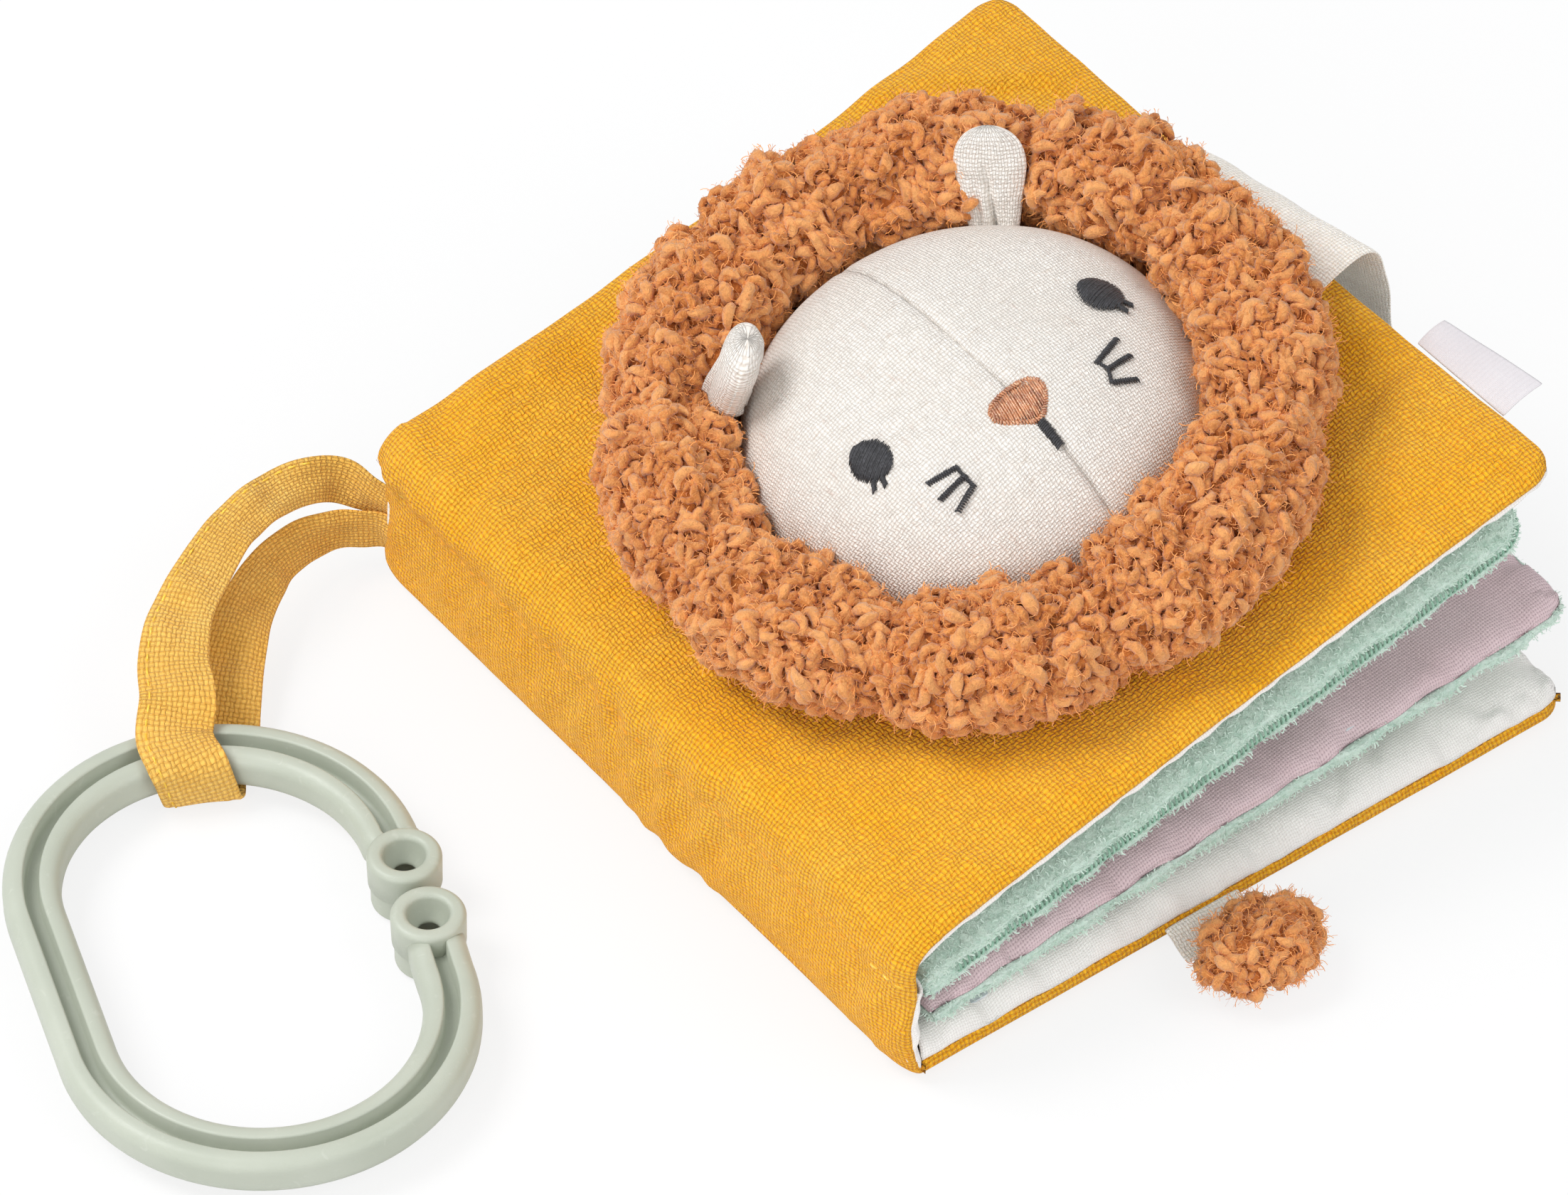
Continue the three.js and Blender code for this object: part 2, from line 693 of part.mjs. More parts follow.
const noseShape = new THREE.Shape();
noseShape.moveTo(0, noseY - noseHeight / 2);
noseShape.quadraticCurveTo(noseWidth / 2, noseY - noseHeight / 4, noseWidth / 2, noseY + noseHeight / 4);
noseShape.quadraticCurveTo(noseWidth / 2, noseY + noseHeight / 2, 0, noseY + noseHeight / 2);
noseShape.quadraticCurveTo(-noseWidth / 2, noseY + noseHeight / 2, -noseWidth / 2, noseY + noseHeight / 4);
noseShape.quadraticCurveTo(-noseWidth / 2, noseY - noseHeight / 4, 0, noseY - noseHeight / 2);
const noseDivisions = 4;
place(head, "nose", joined([noseShape], noseDivisions), copperThread);
place(
  head,
  "mouth_stitch",
  stitched(new THREE.Shape(bar(0, mouthTop - mouthLength / 2, mouthLength, mouthWidth, -Math.PI / 2)), 1),
  blackThread,
);
const whiskerTurns = [20, 4, -15].map(THREE.MathUtils.degToRad);
function whiskerShapes(side) {
  const bars = whiskerTurns.map((turn, row) => {
    const angle = side > 0 ? turn : Math.PI - turn;
    const x = side * whiskerX + (whiskerLength / 2) * Math.cos(angle);
    const y = whiskerY + (1 - row) * whiskerPitch + (whiskerLength / 2) * Math.sin(angle);
    return new THREE.Shape(bar(x, y, whiskerLength, whiskerWidth, angle));
  });
  const spine = bar(side * whiskerX, whiskerY, 2 * whiskerPitch + whiskerWidth, whiskerWidth, Math.PI / 2);
  return [...bars, new THREE.Shape(spine)];
}
place(head, "whiskers_left", joined(whiskerShapes(-1), 1), blackThread);
place(head, "whiskers_right", joined(whiskerShapes(1), 1), blackThread);

// Ears: rounded petals of folded linen, pinched at the root, standing between face and mane
const earSteps = 7;
const earColumnShares = [-1, -0.6, -0.2, 0.2, 0.6, 1];
const earRootShare = 0.62; // width at the root, as a share of the full width
function ear(name, turn, lean, inset, drop) {
  const rows = Array.from({ length: earSteps }, (_, i) => i / (earSteps - 1));
  const halfWidth = (t) => {
    const tip = Math.sqrt(Math.max(1 - ((t - 0.5) / 0.5) ** 2 * (t > 0.5 ? 0.9 : 0), 0));
    return (earWidth / 2) * Math.min(earRootShare + t, 1) * tip;
  };
  const thickness = (s, t) => (earThickness / 2) * (0.35 + 0.65 * Math.sqrt(1 - 0.9 * s * s) * (1 - 0.3 * t));
  const pleat = (s, t) => -earPleat * Math.exp(-((s / 0.35) ** 2)) * (1 - t);
  const face = (sign) => (s, t) =>
    new THREE.Vector3(s * halfWidth(t), t * earLength, sign * thickness(s, t) + pleat(s, t));
  const geometry = slab(earColumnShares, rows, face(-1), face(1));
  const mesh = place(head, name, geometry, linen);
  const outward = new THREE.Vector3(Math.cos(turn), Math.sin(turn), 0);
  const up = new THREE.Vector3(0, 0, 1);
  const along = outward.clone().multiplyScalar(Math.cos(lean)).addScaledVector(up, Math.sin(lean));
  const across = new THREE.Vector3(-Math.sin(turn), Math.cos(turn), 0).negate();
  const normal = new THREE.Vector3().crossVectors(across, along);
  mesh.quaternion.setFromRotationMatrix(new THREE.Matrix4().makeBasis(across, along, normal));
  const rootReach = faceRadius - inset;
  const rootLevel = maneBase + maneHalfHeight + earThickness - drop;
  mesh.position.copy(outward.multiplyScalar(rootReach).addScaledVector(up, rootLevel));
}
ear("ear_right", THREE.MathUtils.degToRad(44), THREE.MathUtils.degToRad(56), rightEarInset, 0);
ear("ear_left", THREE.MathUtils.degToRad(138), THREE.MathUtils.degToRad(104), leftEarInset, leftEarDrop);

// Closure strap: a band laid over the cover's fore edge, then a flap that hangs from the fold
const bandLevel = coverOuterLevel + clearance;
const strapStart = coverWidth - strapHold;
const strapReach = coverWidth + strapOverhang;
const strapBottom = strapY - strapWidth / 2;
place(
  frontCover,
  "closure_strap_band",
  new THREE.BoxGeometry(strapReach - strapStart, strapWidth, strapThickness),
  linen,
).position.set((strapStart + strapReach) / 2, strapY, bandLevel + strapThickness / 2);

const foldPoint = new THREE.Vector3(strapReach, 0, bandLevel + strapThickness / 2)
  .applyAxisAngle(new THREE.Vector3(0, 1, 0), -coverTilt)
  .add(frontCover.position);
const flap = new THREE.Group();
flap.position.copy(foldPoint);
book.add(flap);
const flapShares = [0, 0.03, 0.08, 0.2, 0.5, 0.75, 1];
const flapRise = strapThickness; // the fold stands above the hinge line by this
function flapCentre(share) {
  const turn = Math.min(share / 0.08, 1) * (Math.PI / 2);
  const drop = share * flapLength;
  return new THREE.Vector3(
    strapThickness + (flapRise + clearance) * Math.sin(turn) + flapLean * share,
    0,
    -drop + flapRise * Math.cos(turn) * 0.2,
  );
}
const flapPoint = (offset) => (y, share) => flapCentre(share).add(new THREE.Vector3(offset, y, 0));
place(
  flap,
  "closure_strap_flap",
  slab(
    [strapBottom + strapWidth, strapBottom],
    flapShares,
    flapPoint(-strapThickness / 2),
    flapPoint(strapThickness / 2),
  ),
  linen,
);
const patchShares = [1 - (patchLength + clothThickness) / flapLength, 1 - clothThickness / flapLength];
const patchFace = -strapThickness / 2 - clearance;
place(
  flap,
  "hook_patch",
  slab(
    [strapBottom + strapWidth - clothThickness, strapBottom + clothThickness],
    patchShares,
    flapPoint(patchFace - patchThickness),
    flapPoint(patchFace),
  ),
  whiteHook,
);

// Label: a folded satin tab sewn in the seam of the fore edge
place(
  frontCover,
  "satin_label",
  new THREE.BoxGeometry(labelReach, labelWidth, labelThickness),
  greySatin,
).position.set(coverWidth + clearance + labelReach / 2, labelY, coverSeamLevel - clothThickness / 2);

// Ring: a bar with a groove in its top, bent to a racetrack, open between two eyelets
const ring = new THREE.Group();
ring.position.set(ringCentre.x, ringCentre.y, 0);
ring.rotation.z = ringTurn;
book.add(ring);

const barHalf = ringBarWidth / 2;
const barTop = ringBarLevel + ringBarHeight;
function barSection(groove) {
  const chamfer = ringBarFillet * 0.29;
  const half = grooveWidth / 2;
  const points = [
    [-barHalf + ringBarFillet, ringBarLevel],
    [barHalf - ringBarFillet, ringBarLevel],
    [barHalf - chamfer, ringBarLevel + chamfer],
    [barHalf, ringBarLevel + ringBarFillet],
    [barHalf, barTop - ringBarFillet],
    [barHalf - chamfer, barTop - chamfer],
    [barHalf - ringBarFillet, barTop],
    [half, barTop],
    [half, barTop - grooveDepth * groove],
    [-half, barTop - grooveDepth * groove],
    [-half, barTop],
    [-barHalf + ringBarFillet, barTop],
    [-barHalf + chamfer, barTop - chamfer],
    [-barHalf, barTop - ringBarFillet],
    [-barHalf, ringBarLevel + ringBarFillet],
    [-barHalf + chamfer, ringBarLevel + chamfer],
  ];
  return points.map(([x, y]) => new THREE.Vector2(x, y));
}
// The centre line runs from the upper eyelet round the far side to the lower eyelet.
const eyeletX = ringBendRadius + (eyeletRadius - barHalf) / 3;
const bendSteps = 14;
function racetrack() {
  const stations = [];
  const add = (x, y, heading) => stations.push({ x, y, heading });
  add(eyeletX, eyeletSpacing / 2, Math.PI / 2);
  for (let i = 0; i <= bendSteps; i++) {
    const angle = (Math.PI * i) / bendSteps;
    add(ringBendRadius * Math.cos(angle), ringHalfStraight + ringBendRadius * Math.sin(angle), angle + Math.PI / 2);
  }
  for (let i = 0; i <= bendSteps; i++) {
    const angle = Math.PI + (Math.PI * i) / bendSteps;
    add(ringBendRadius * Math.cos(angle), -ringHalfStraight + ringBendRadius * Math.sin(angle), angle + Math.PI / 2);
  }
  add(eyeletX, -eyeletSpacing / 2, Math.PI / 2 + 2 * Math.PI);
  return stations;
}
function ringSection({ x, y, heading }, groove) {
  const across = new THREE.Vector3(-Math.sin(heading), Math.cos(heading), 0);
  return barSection(groove).map((p) => new THREE.Vector3(x, y, p.y).addScaledVector(across, p.x));
}
function barGeometry() {
  const stations = racetrack();
  const sections = stations.map((station) => ringSection(station, 1));
  return capped(sections, barSection(1));
}
function eyeletProfile() {
  const skirt = eyeletRadius - eyeletStepInset;
  return [
    [eyeletBore, eyeletBottom],
    [skirt, eyeletBottom],
    [skirt, eyeletBottom + eyeletStep],
    [eyeletRadius, eyeletBottom + eyeletStep + eyeletStepInset],
    [eyeletRadius, eyeletTop - eyeletFillet],
    [eyeletRadius - eyeletFillet * 0.29, eyeletTop - eyeletFillet * 0.29],
    [eyeletRadius - eyeletFillet, eyeletTop],
    [eyeletSink + eyeletFillet / 2, eyeletTop],
    [eyeletSink, eyeletTop - eyeletFillet / 2],
    [eyeletBore + eyeletFillet / 2, eyeletTop - eyeletSinkDepth],
    [eyeletBore, eyeletTop - eyeletSinkDepth],
    [eyeletBore, eyeletBottom],
  ].map(([x, y]) => new THREE.Vector2(x, y));
}
const eyeletSegments = 24;
function eyelet(y) {
  return solid(turned(eyeletProfile(), eyeletSegments).translate(eyeletX, y, 0));
}
function eyeletClearing(y) {
  const core = eyeletRadius - clearance;
  const cutter = new THREE.CylinderGeometry(core, core, 2 * eyeletTop, eyeletSegments);
  return solid(cutter.rotateX(Math.PI / 2).translate(eyeletX, y, eyeletTop / 2));
}
function ringSolid() {
  const places = [eyeletSpacing / 2, -eyeletSpacing / 2];
  let body = solid(barGeometry());
  for (const y of places) body = body.subtract(eyeletClearing(y));
  for (const y of places) body = body.add(eyelet(y));
  const vent = new THREE.CylinderGeometry(ventRadius, ventRadius, 2 * barTop, 8).rotateX(Math.PI / 2);
  return body.subtract(solid(vent.translate(-ringBendRadius, 0, 0)));
}
place(ring, "ring", geometryOf(ringSolid()), sagePlastic);

// The strap's fold round the bar: half a squarish oval square to the bar, about the bar's own middle
const wrapTurn = Math.asin(wrapAlong / ringBendRadius);
const innerBend = ringBendRadius - barHalf;
const barSag = innerBend - Math.sqrt(innerBend ** 2 - ((loopWidth + wrapShift) / 2) ** 2);
const wrapReach = barHalf + barSag + clearance + loopThickness / 2;
const wrapBottom = tableGap + loopThickness / 2;
const wrapTop = barTop + 2 * clearance + loopThickness / 2;
const wrapLevel = (wrapTop + wrapBottom) / 2;
const wrapRise = (wrapTop - wrapBottom) / 2;
const wrapTurns = [90, 120, 150, 180, 210, 240, 270];
// Draws a circle's sine or cosine out towards a square.
const squareShare = 0.6;
const squared = (value) => Math.sign(value) * Math.abs(value) ** squareShare;
const wrapStops = wrapTurns.map((degrees) => {
  const turn = THREE.MathUtils.degToRad(degrees);
  const out = ringBendRadius + squared(Math.cos(turn)) * wrapReach;
  const along = wrapShift * (degrees / 90 - 2);
  const place = new THREE.Vector2(
    out * Math.sin(wrapTurn) + along * Math.cos(wrapTurn),
    ringHalfStraight + out * Math.cos(wrapTurn) - along * Math.sin(wrapTurn),
  );
  place.rotateAround(new THREE.Vector2(), ringTurn).add(ringCentre);
  const across = new THREE.Vector2(-1, 0).rotateAround(new THREE.Vector2(), ringTurn - wrapTurn);
  return { at: [place.x, place.y, wrapLevel + squared(Math.sin(turn)) * wrapRise], width: [across.x, across.y, 0] };
});

// Hang loop: a flat strap from its sewn end, over and round the ring's bar, and back.
// Each stop gives its place from the sewn end as shares of the loop's reach, and the way the strap's
// width runs.
const loopOutShares = [
  { share: [0, 0, 0], width: [0, 0, 1] },
  { share: [-0.003, 0.028, 0], width: [0, 0, 1] },
  { share: [-0.025, 0.085, 0.013], width: [0.1, 0.2, 1] },
  { share: [-0.088, 0.132, 0.04], width: [0.3, 0.5, 1] },
  { share: [-0.182, 0.152, 0.067], width: [0.3, 1, 0.9] },
  { share: [-0.295, 0.145, 0.083], width: [-0.1, 1, 0.6] },
  { share: [-0.432, 0.112, 0.087], width: [-0.5, 1, 0.3] },
  { share: [-0.598, 0.032, 0.07], width: [-0.8, 0.9, 0.1] },
  { share: [-0.748, -0.062, 0.043], width: [-1, 0.7, 0] },
  { share: [-0.855, -0.178, 0.017], width: [-1, 0.5, 0] },
  { share: [-0.915, -0.285, -0.008], width: [-1, 0.5, 0] },
];
const loopBackShares = [
  { share: [-0.818, -0.338, -0.197], width: [-1, 0.6, 0] },
  { share: [-0.752, -0.268, -0.163], width: [-1, 0.8, 0.05] },
  { share: [-0.648, -0.162, -0.117], width: [-1, 0.9, 0.2] },
  { share: [-0.512, -0.042, -0.08], width: [-0.8, 1, 0.6] },
  { share: [-0.355, 0.045, -0.067], width: [-0.4, 0.9, 1] },
  { share: [-0.225, 0.075, -0.077], width: [-0.1, 0.4, 1] },
  { share: [-0.118, 0.075, -0.097], width: [0, 0.1, 1] },
  { share: [-0.053, 0.028, -0.107], width: [0, 0, 1] },
  { share: [-0.047, 0, -0.107], width: [0, 0, 1] },
];
const loopRoot = new THREE.Vector3(loopRootX, coverHeight + loopRootGap, loopRootLevel);
const fromRoot = ({ share, width }) => ({
  at: new THREE.Vector3(...share).multiplyScalar(loopReach).add(loopRoot).toArray(),
  width,
});
const loopStops = [...loopOutShares.map(fromRoot), ...wrapStops, ...loopBackShares.map(fromRoot)];
const loopSteps = 60;
function loopGeometry() {
  const path = new THREE.CatmullRomCurve3(
    loopStops.map(({ at }) => new THREE.Vector3(...at)),
    false,
    "centripetal",
  );
  const widths = new THREE.CatmullRomCurve3(
    loopStops.map(({ width }) => new THREE.Vector3(...width).normalize()),
    false,
    "centripetal",
  );
  const corners = [
    [-1, -1],
    [1, -1],
    [1, 1],
    [-1, 1],
  ];
  const sections = [];
  for (let i = 0; i <= loopSteps; i++) {
    const t = i / loopSteps;
    const tangent = path.getTangent(t);
    const across = widths.getPoint(t);
    across.addScaledVector(tangent, -across.dot(tangent)).normalize();
    const normal = new THREE.Vector3().crossVectors(tangent, across);
    sections.push(
      corners.map(([a, b]) =>
        path
          .getPoint(t)
          .addScaledVector(across, (a * loopWidth) / 2)
          .addScaledVector(normal, (b * loopThickness) / 2),
      ),
    );
  }
  return capped(sections, corners.map(([a, b]) => new THREE.Vector2(a, b)));
}
place(book, "hang_loop", loopGeometry(), mustardStrap);

// Tail: a tape from the seam of the bottom edge, and a stuffed plush tuft
const tail = new THREE.Group();
tail.position.set(tailX, -clearance, tapeLevel);
book.add(tail);
const tapeShares = [0, 0.35, 0.7, 1];
function tapePoint(raise) {
  return (x, share) => {
    const drop = (tapeLevel - tapeRest) * share * share * (3 - 2 * share);
    return new THREE.Vector3(x, -share * tapeLength, -drop + raise);
  };
}
place(
  tail,
  "tail_tape",
  slab([-tapeWidth / 2, tapeWidth / 2], [...tapeShares].reverse(), tapePoint(0), tapePoint(tapeThickness)),
  linen,
);
const tuftSegments = 20;
const tuftRows = 10;
const tuftNarrowShare = 0.72; // the tuft's width where the tape enters it
function tuftGeometry() {
  const blob = new THREE.SphereGeometry(1, tuftSegments, tuftRows);
  blob.rotateX(Math.PI / 2).scale(tuftHalfWidth, tuftLength * tuftNarrowShare, tuftHalfHeight);
  const middle = -tapeLength - clearance - tuftLength * (1 - tuftNarrowShare);
  const level = tuftHalfHeight + tapeRest - tapeLevel - clearance / 2;
  blob.translate(clearance, middle, level);
  const cut = boxAt(4 * tuftHalfWidth, tuftLength, 4 * tuftHalfHeight, 0, tuftLength / 2 - tapeLength - clearance, 0);
  return geometryOf(solid(blob).subtract(cut));
}
place(tail, "tail_tuft", tuftGeometry(), caramelPlush);

export default book;
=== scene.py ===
import math

import bpy
import numpy as np
from mathutils import Matrix, Vector


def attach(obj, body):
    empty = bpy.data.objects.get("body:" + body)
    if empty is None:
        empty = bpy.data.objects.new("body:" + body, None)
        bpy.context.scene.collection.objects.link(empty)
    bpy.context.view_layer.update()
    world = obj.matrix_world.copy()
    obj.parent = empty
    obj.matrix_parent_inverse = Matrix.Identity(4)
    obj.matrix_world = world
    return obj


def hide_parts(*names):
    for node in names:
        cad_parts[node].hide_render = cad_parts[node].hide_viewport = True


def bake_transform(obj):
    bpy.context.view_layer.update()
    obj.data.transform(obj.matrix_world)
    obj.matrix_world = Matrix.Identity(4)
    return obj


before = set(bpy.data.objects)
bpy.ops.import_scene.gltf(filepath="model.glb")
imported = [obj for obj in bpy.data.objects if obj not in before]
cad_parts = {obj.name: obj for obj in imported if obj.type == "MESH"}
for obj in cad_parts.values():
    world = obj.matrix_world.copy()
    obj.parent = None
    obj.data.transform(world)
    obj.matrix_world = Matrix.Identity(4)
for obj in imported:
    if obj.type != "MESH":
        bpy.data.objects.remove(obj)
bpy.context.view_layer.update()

# Camera
# A long lens looks down on the book from its bottom spine corner, as in the photograph.
# The angles are in degrees: round the book from its bottom edge, and up from the table.
look_from, look_down, head_tilt = math.radians(-37.398), math.radians(44.773), math.radians(0.28)
looks_at, stands_off, lens_length = Vector((-0.017939, 0.027579, 0)), 1.495617, 200.28
backward = Vector((
    math.sin(look_from) * math.cos(look_down),
    -math.cos(look_from) * math.cos(look_down),
    math.sin(look_down),
))
level_right = Vector((math.cos(look_from), math.sin(look_from), 0))
level_up = backward.cross(level_right)
right = level_right * math.cos(head_tilt) + level_up * math.sin(head_tilt)
up = level_up * math.cos(head_tilt) - level_right * math.sin(head_tilt)
camera = bpy.data.objects.new("camera", bpy.data.cameras.new("camera"))
bpy.context.collection.objects.link(camera)
camera.data.lens = lens_length
camera.data.sensor_width = 36
camera.data.clip_end = 20
turned = Matrix((right, up, backward)).transposed().to_4x4()
camera.matrix_world = Matrix.Translation(looks_at + backward * stands_off) @ turned
bpy.context.scene.camera = camera
bpy.context.scene.view_settings.view_transform = "Standard"

# Table top and studio light
# The book lies on a plain white table that runs on behind it without an edge.
# Large soft lamps stand over it, and the room gives the rest of the light.
def srgb(red, green, blue):
    """A colour as it is read off a swatch, 0 to 255, in linear light."""
    def linear(value):
        share = value / 255
        return share / 12.92 if share <= 0.04045 else ((share + 0.055) / 1.055) ** 2.4
    return (linear(red), linear(green), linear(blue), 1)


def new_material(name):
    material = bpy.data.materials.new(name)
    material.use_nodes = True
    tree = material.node_tree
    return material, tree, tree.nodes["Principled BSDF"]


def feed(tree, node, **feeds):
    """Gives a node's inputs, by name or number, a value or what another node makes."""
    for key, value in feeds.items():
        socket = node.inputs[int(key[1:]) if key[1:].isdigit() else key.replace("_", " ")]
        if isinstance(value, bpy.types.Node):
            value = value.outputs[0]
        if isinstance(value, bpy.types.NodeSocket):
            tree.links.new(value, socket)
        else:
            socket.default_value = value


def add(tree, kind, settings=None, **feeds):
    """One node of a tree. Settings are its own properties and feeds its inputs."""
    node = tree.nodes.new(kind)
    for key, value in (settings or {}).items():
        setattr(node, key, value)
    feed(tree, node, **feeds)
    return node


def calc(tree, operation, *values):
    """A sum on single numbers."""
    return add(tree, "ShaderNodeMath", {"operation": operation}, **{f"n{i}": v for i, v in enumerate(values)})


table_size, table_drop = 4.0, 0.0004
table_mesh = bpy.data.meshes.new("table_top")
half = table_size / 2
corners = [(x, y, -table_drop) for x, y in ((-half, -half), (half, -half), (half, half), (-half, half))]
table_mesh.from_pydata(corners, [], [(0, 1, 2, 3)])
table = bpy.data.objects.new("table_top", table_mesh)
bpy.context.collection.objects.link(table)
table_white, tree, shader = new_material("table_white")
feed(tree, shader, Base_Color=(0.86, 0.86, 0.86, 1), Roughness=0.9, Specular_IOR_Level=0.1)
glow = add(tree, "ShaderNodeEmission", Color=(1, 1, 1, 1), Strength=1.0)
seen_share = calc(tree, "MULTIPLY", add(tree, "ShaderNodeLightPath").outputs["Is Camera Ray"], 0.8)
blended = add(tree, "ShaderNodeMixShader", Fac=seen_share, n1=shader, n2=glow)
feed(tree, tree.nodes["Material Output"], Surface=blended)
table_mesh.materials.append(table_white)

room = bpy.data.worlds.new("room")
bpy.context.scene.world = room
room.use_nodes = True
tree = room.node_tree
room_light = tree.nodes["Background"]
feed(tree, room_light, Color=(0.97, 0.98, 1, 1), Strength=0.5)
room_seen = add(tree, "ShaderNodeBackground", Color=(1, 1, 1, 1), Strength=1.0)
path = add(tree, "ShaderNodeLightPath").outputs
seen = calc(tree, "MAXIMUM", path["Is Camera Ray"], path["Is Glossy Ray"])
room_mix = add(tree, "ShaderNodeMixShader", Fac=seen, n1=room_light, n2=room_seen)
feed(tree, tree.nodes["World Output"], Surface=room_mix)


def soft_lamp(name, place, size, power):
    """A square lamp that looks at the middle of the book."""
    lamp = bpy.data.objects.new(name, bpy.data.lights.new(name, "AREA"))
    lamp.data.size = size
    lamp.data.energy = power
    lamp.location = place
    lamp.rotation_euler = (-Vector(place)).to_track_quat("-Z", "Y").to_euler()
    bpy.context.collection.objects.link(lamp)


soft_lamp("key_lamp", (-0.9, 0.7, 1.6), 0.9, 22)
soft_lamp("fill_lamp", (0.6, -1.3, 1.3), 1.2, 10)
soft_lamp("side_lamp", (-1.5, -0.8, 0.9), 1.2, 10)

# Back cover, outer cloth
# Mustard double gauze, two open plain weaves caught together, pulled round the wadding's edge.
# It is sewn to the lining all round, and the spine's cloth runs on from its left side.
book_corner = np.array([71.5, 74.5, 0.0])  # from the book's bottom spine corner to the middle
cover_width, cover_height, cover_corner = 141.0, 149.0, 6.0
back_start, back_end = 5.5, 143.0
cloth_thickness = 1.0
mustard, mustard_deep, mustard_light = srgb(255, 186, 26), srgb(224, 128, 2), srgb(255, 203, 72)


def unit(vectors):
    """The same directions, each one long."""
    return vectors / np.maximum(np.linalg.norm(vectors, axis=-1, keepdims=True), 1e-9)


def run_lengths(points):
    """How far along a line each of its points is."""
    return np.concatenate([[0], np.cumsum(np.linalg.norm(np.diff(points, axis=0), axis=1))])


def rippled(seed, reach, *places):
    """Smooth uneven ripples about so many millimetres long, mostly between -1 and 1."""
    rng = np.random.default_rng(seed)
    total = np.zeros(np.broadcast(*places).shape)
    for _ in range(10):
        heading = rng.normal(size=len(places))
        heading /= np.linalg.norm(heading)
        turn = 2 * math.pi / (reach * rng.uniform(0.7, 1.5))
        total = total + np.sin(turn * sum(h * p for h, p in zip(heading, places)) + rng.uniform(0, 6.28))
    return total / 3.6


def cloth_lines(start, end, edge, rolled_start, rolled_end, step):
    """Where a panel's lines run between start and end, and how many steps each is in from the seam."""
    insets = edge[:, 0]
    deepest = len(edge) - 1
    first = start + insets if rolled_start else np.array([start])
    last = end - insets[::-1] if rolled_end else np.array([end])
    count = max(int(round((last[0] - first[-1]) / step)), 2)
    middle = np.linspace(first[-1], last[0], count + 1)[1:-1]
    place = np.concatenate([first, middle, last])
    depth = np.concatenate([
        np.arange(len(edge)) if rolled_start else [deepest],
        np.full(len(middle), deepest),
        np.arange(len(edge))[::-1] if rolled_end else [deepest],
    ])
    return place, depth.astype(float)


def lengths_along(place, depth, edge):
    """Cloth used up along a line, from its first point, rolled edges included."""
    level = np.interp(depth, np.arange(len(edge)), edge[:, 1])
    return np.concatenate([[0], np.cumsum(np.hypot(np.diff(place), np.diff(level)))])


def rounded_corners(x, y, end, bottom, top):
    """Draws the square at both outer corners of a panel to a quarter disc."""
    middle_x = np.minimum(x, end - cover_corner)
    middle_y = np.clip(y, bottom + cover_corner, top - cover_corner)
    p, q = (x - middle_x) / cover_corner, (y - middle_y) / cover_corner
    inside = lambda value: np.sqrt(np.maximum(1 - value * value / 2, 0))
    return middle_x + cover_corner * p * inside(q), middle_y + cover_corner * q * inside(p)


def panel_grid(start, end, bottom, top, edge, step):
    """A panel rolled over at three sides: its points, their steps in from the seam, level and flat cut."""
    columns, column_depth = cloth_lines(start, end, edge, False, True, step)
    rows, row_depth = cloth_lines(bottom, top, edge, True, True, step)
    depth = np.minimum(column_depth[None, :], row_depth[:, None])
    cut = np.meshgrid(lengths_along(columns, column_depth, edge), lengths_along(rows, row_depth, edge))
    return *np.meshgrid(columns, rows), depth, np.interp(depth, np.arange(len(edge)), edge[:, 1]), cut


def beside_seam(x, y, end, bottom, top):
    """How far each point of a panel is from the sewn edge, and where along that edge it lies."""
    from_side = np.minimum(y - bottom, top - y)
    return np.minimum(from_side, end - x), np.where(end - x < from_side, y, x)


def facing(grid):
    """The direction that each point of a grid of cloth faces."""
    normal = np.cross(np.gradient(grid, axis=1), np.gradient(grid, axis=0))
    for rows, row in ((slice(0, 3), 4), (slice(-3, None), -5)):  # rounded corners are pinched there
        for columns, column in ((slice(0, 3), 4), (slice(-3, None), -5)):
            normal[rows, columns] = normal[row, column]
    return unit(normal)


def piece_from(name, points, faces, uv, material):
    """A piece from points in millimetres, measured from the book's bottom spine corner."""
    mesh = bpy.data.meshes.new(name)
    mesh.from_pydata(((points - book_corner) / 1000).tolist(), [], faces)
    if uv is not None:
        layer = mesh.uv_layers.new(name="cut")
        corners = np.zeros(len(mesh.loops), np.int32)
        mesh.loops.foreach_get("vertex_index", corners)
        layer.data.foreach_set("uv", np.asarray(uv, np.float32)[corners].ravel())
    mesh.polygons.foreach_set("use_smooth", [True] * len(mesh.polygons))
    mesh.materials.append(material)
    made = bpy.data.objects.new(name, mesh)
    bpy.context.collection.objects.link(made)
    return made


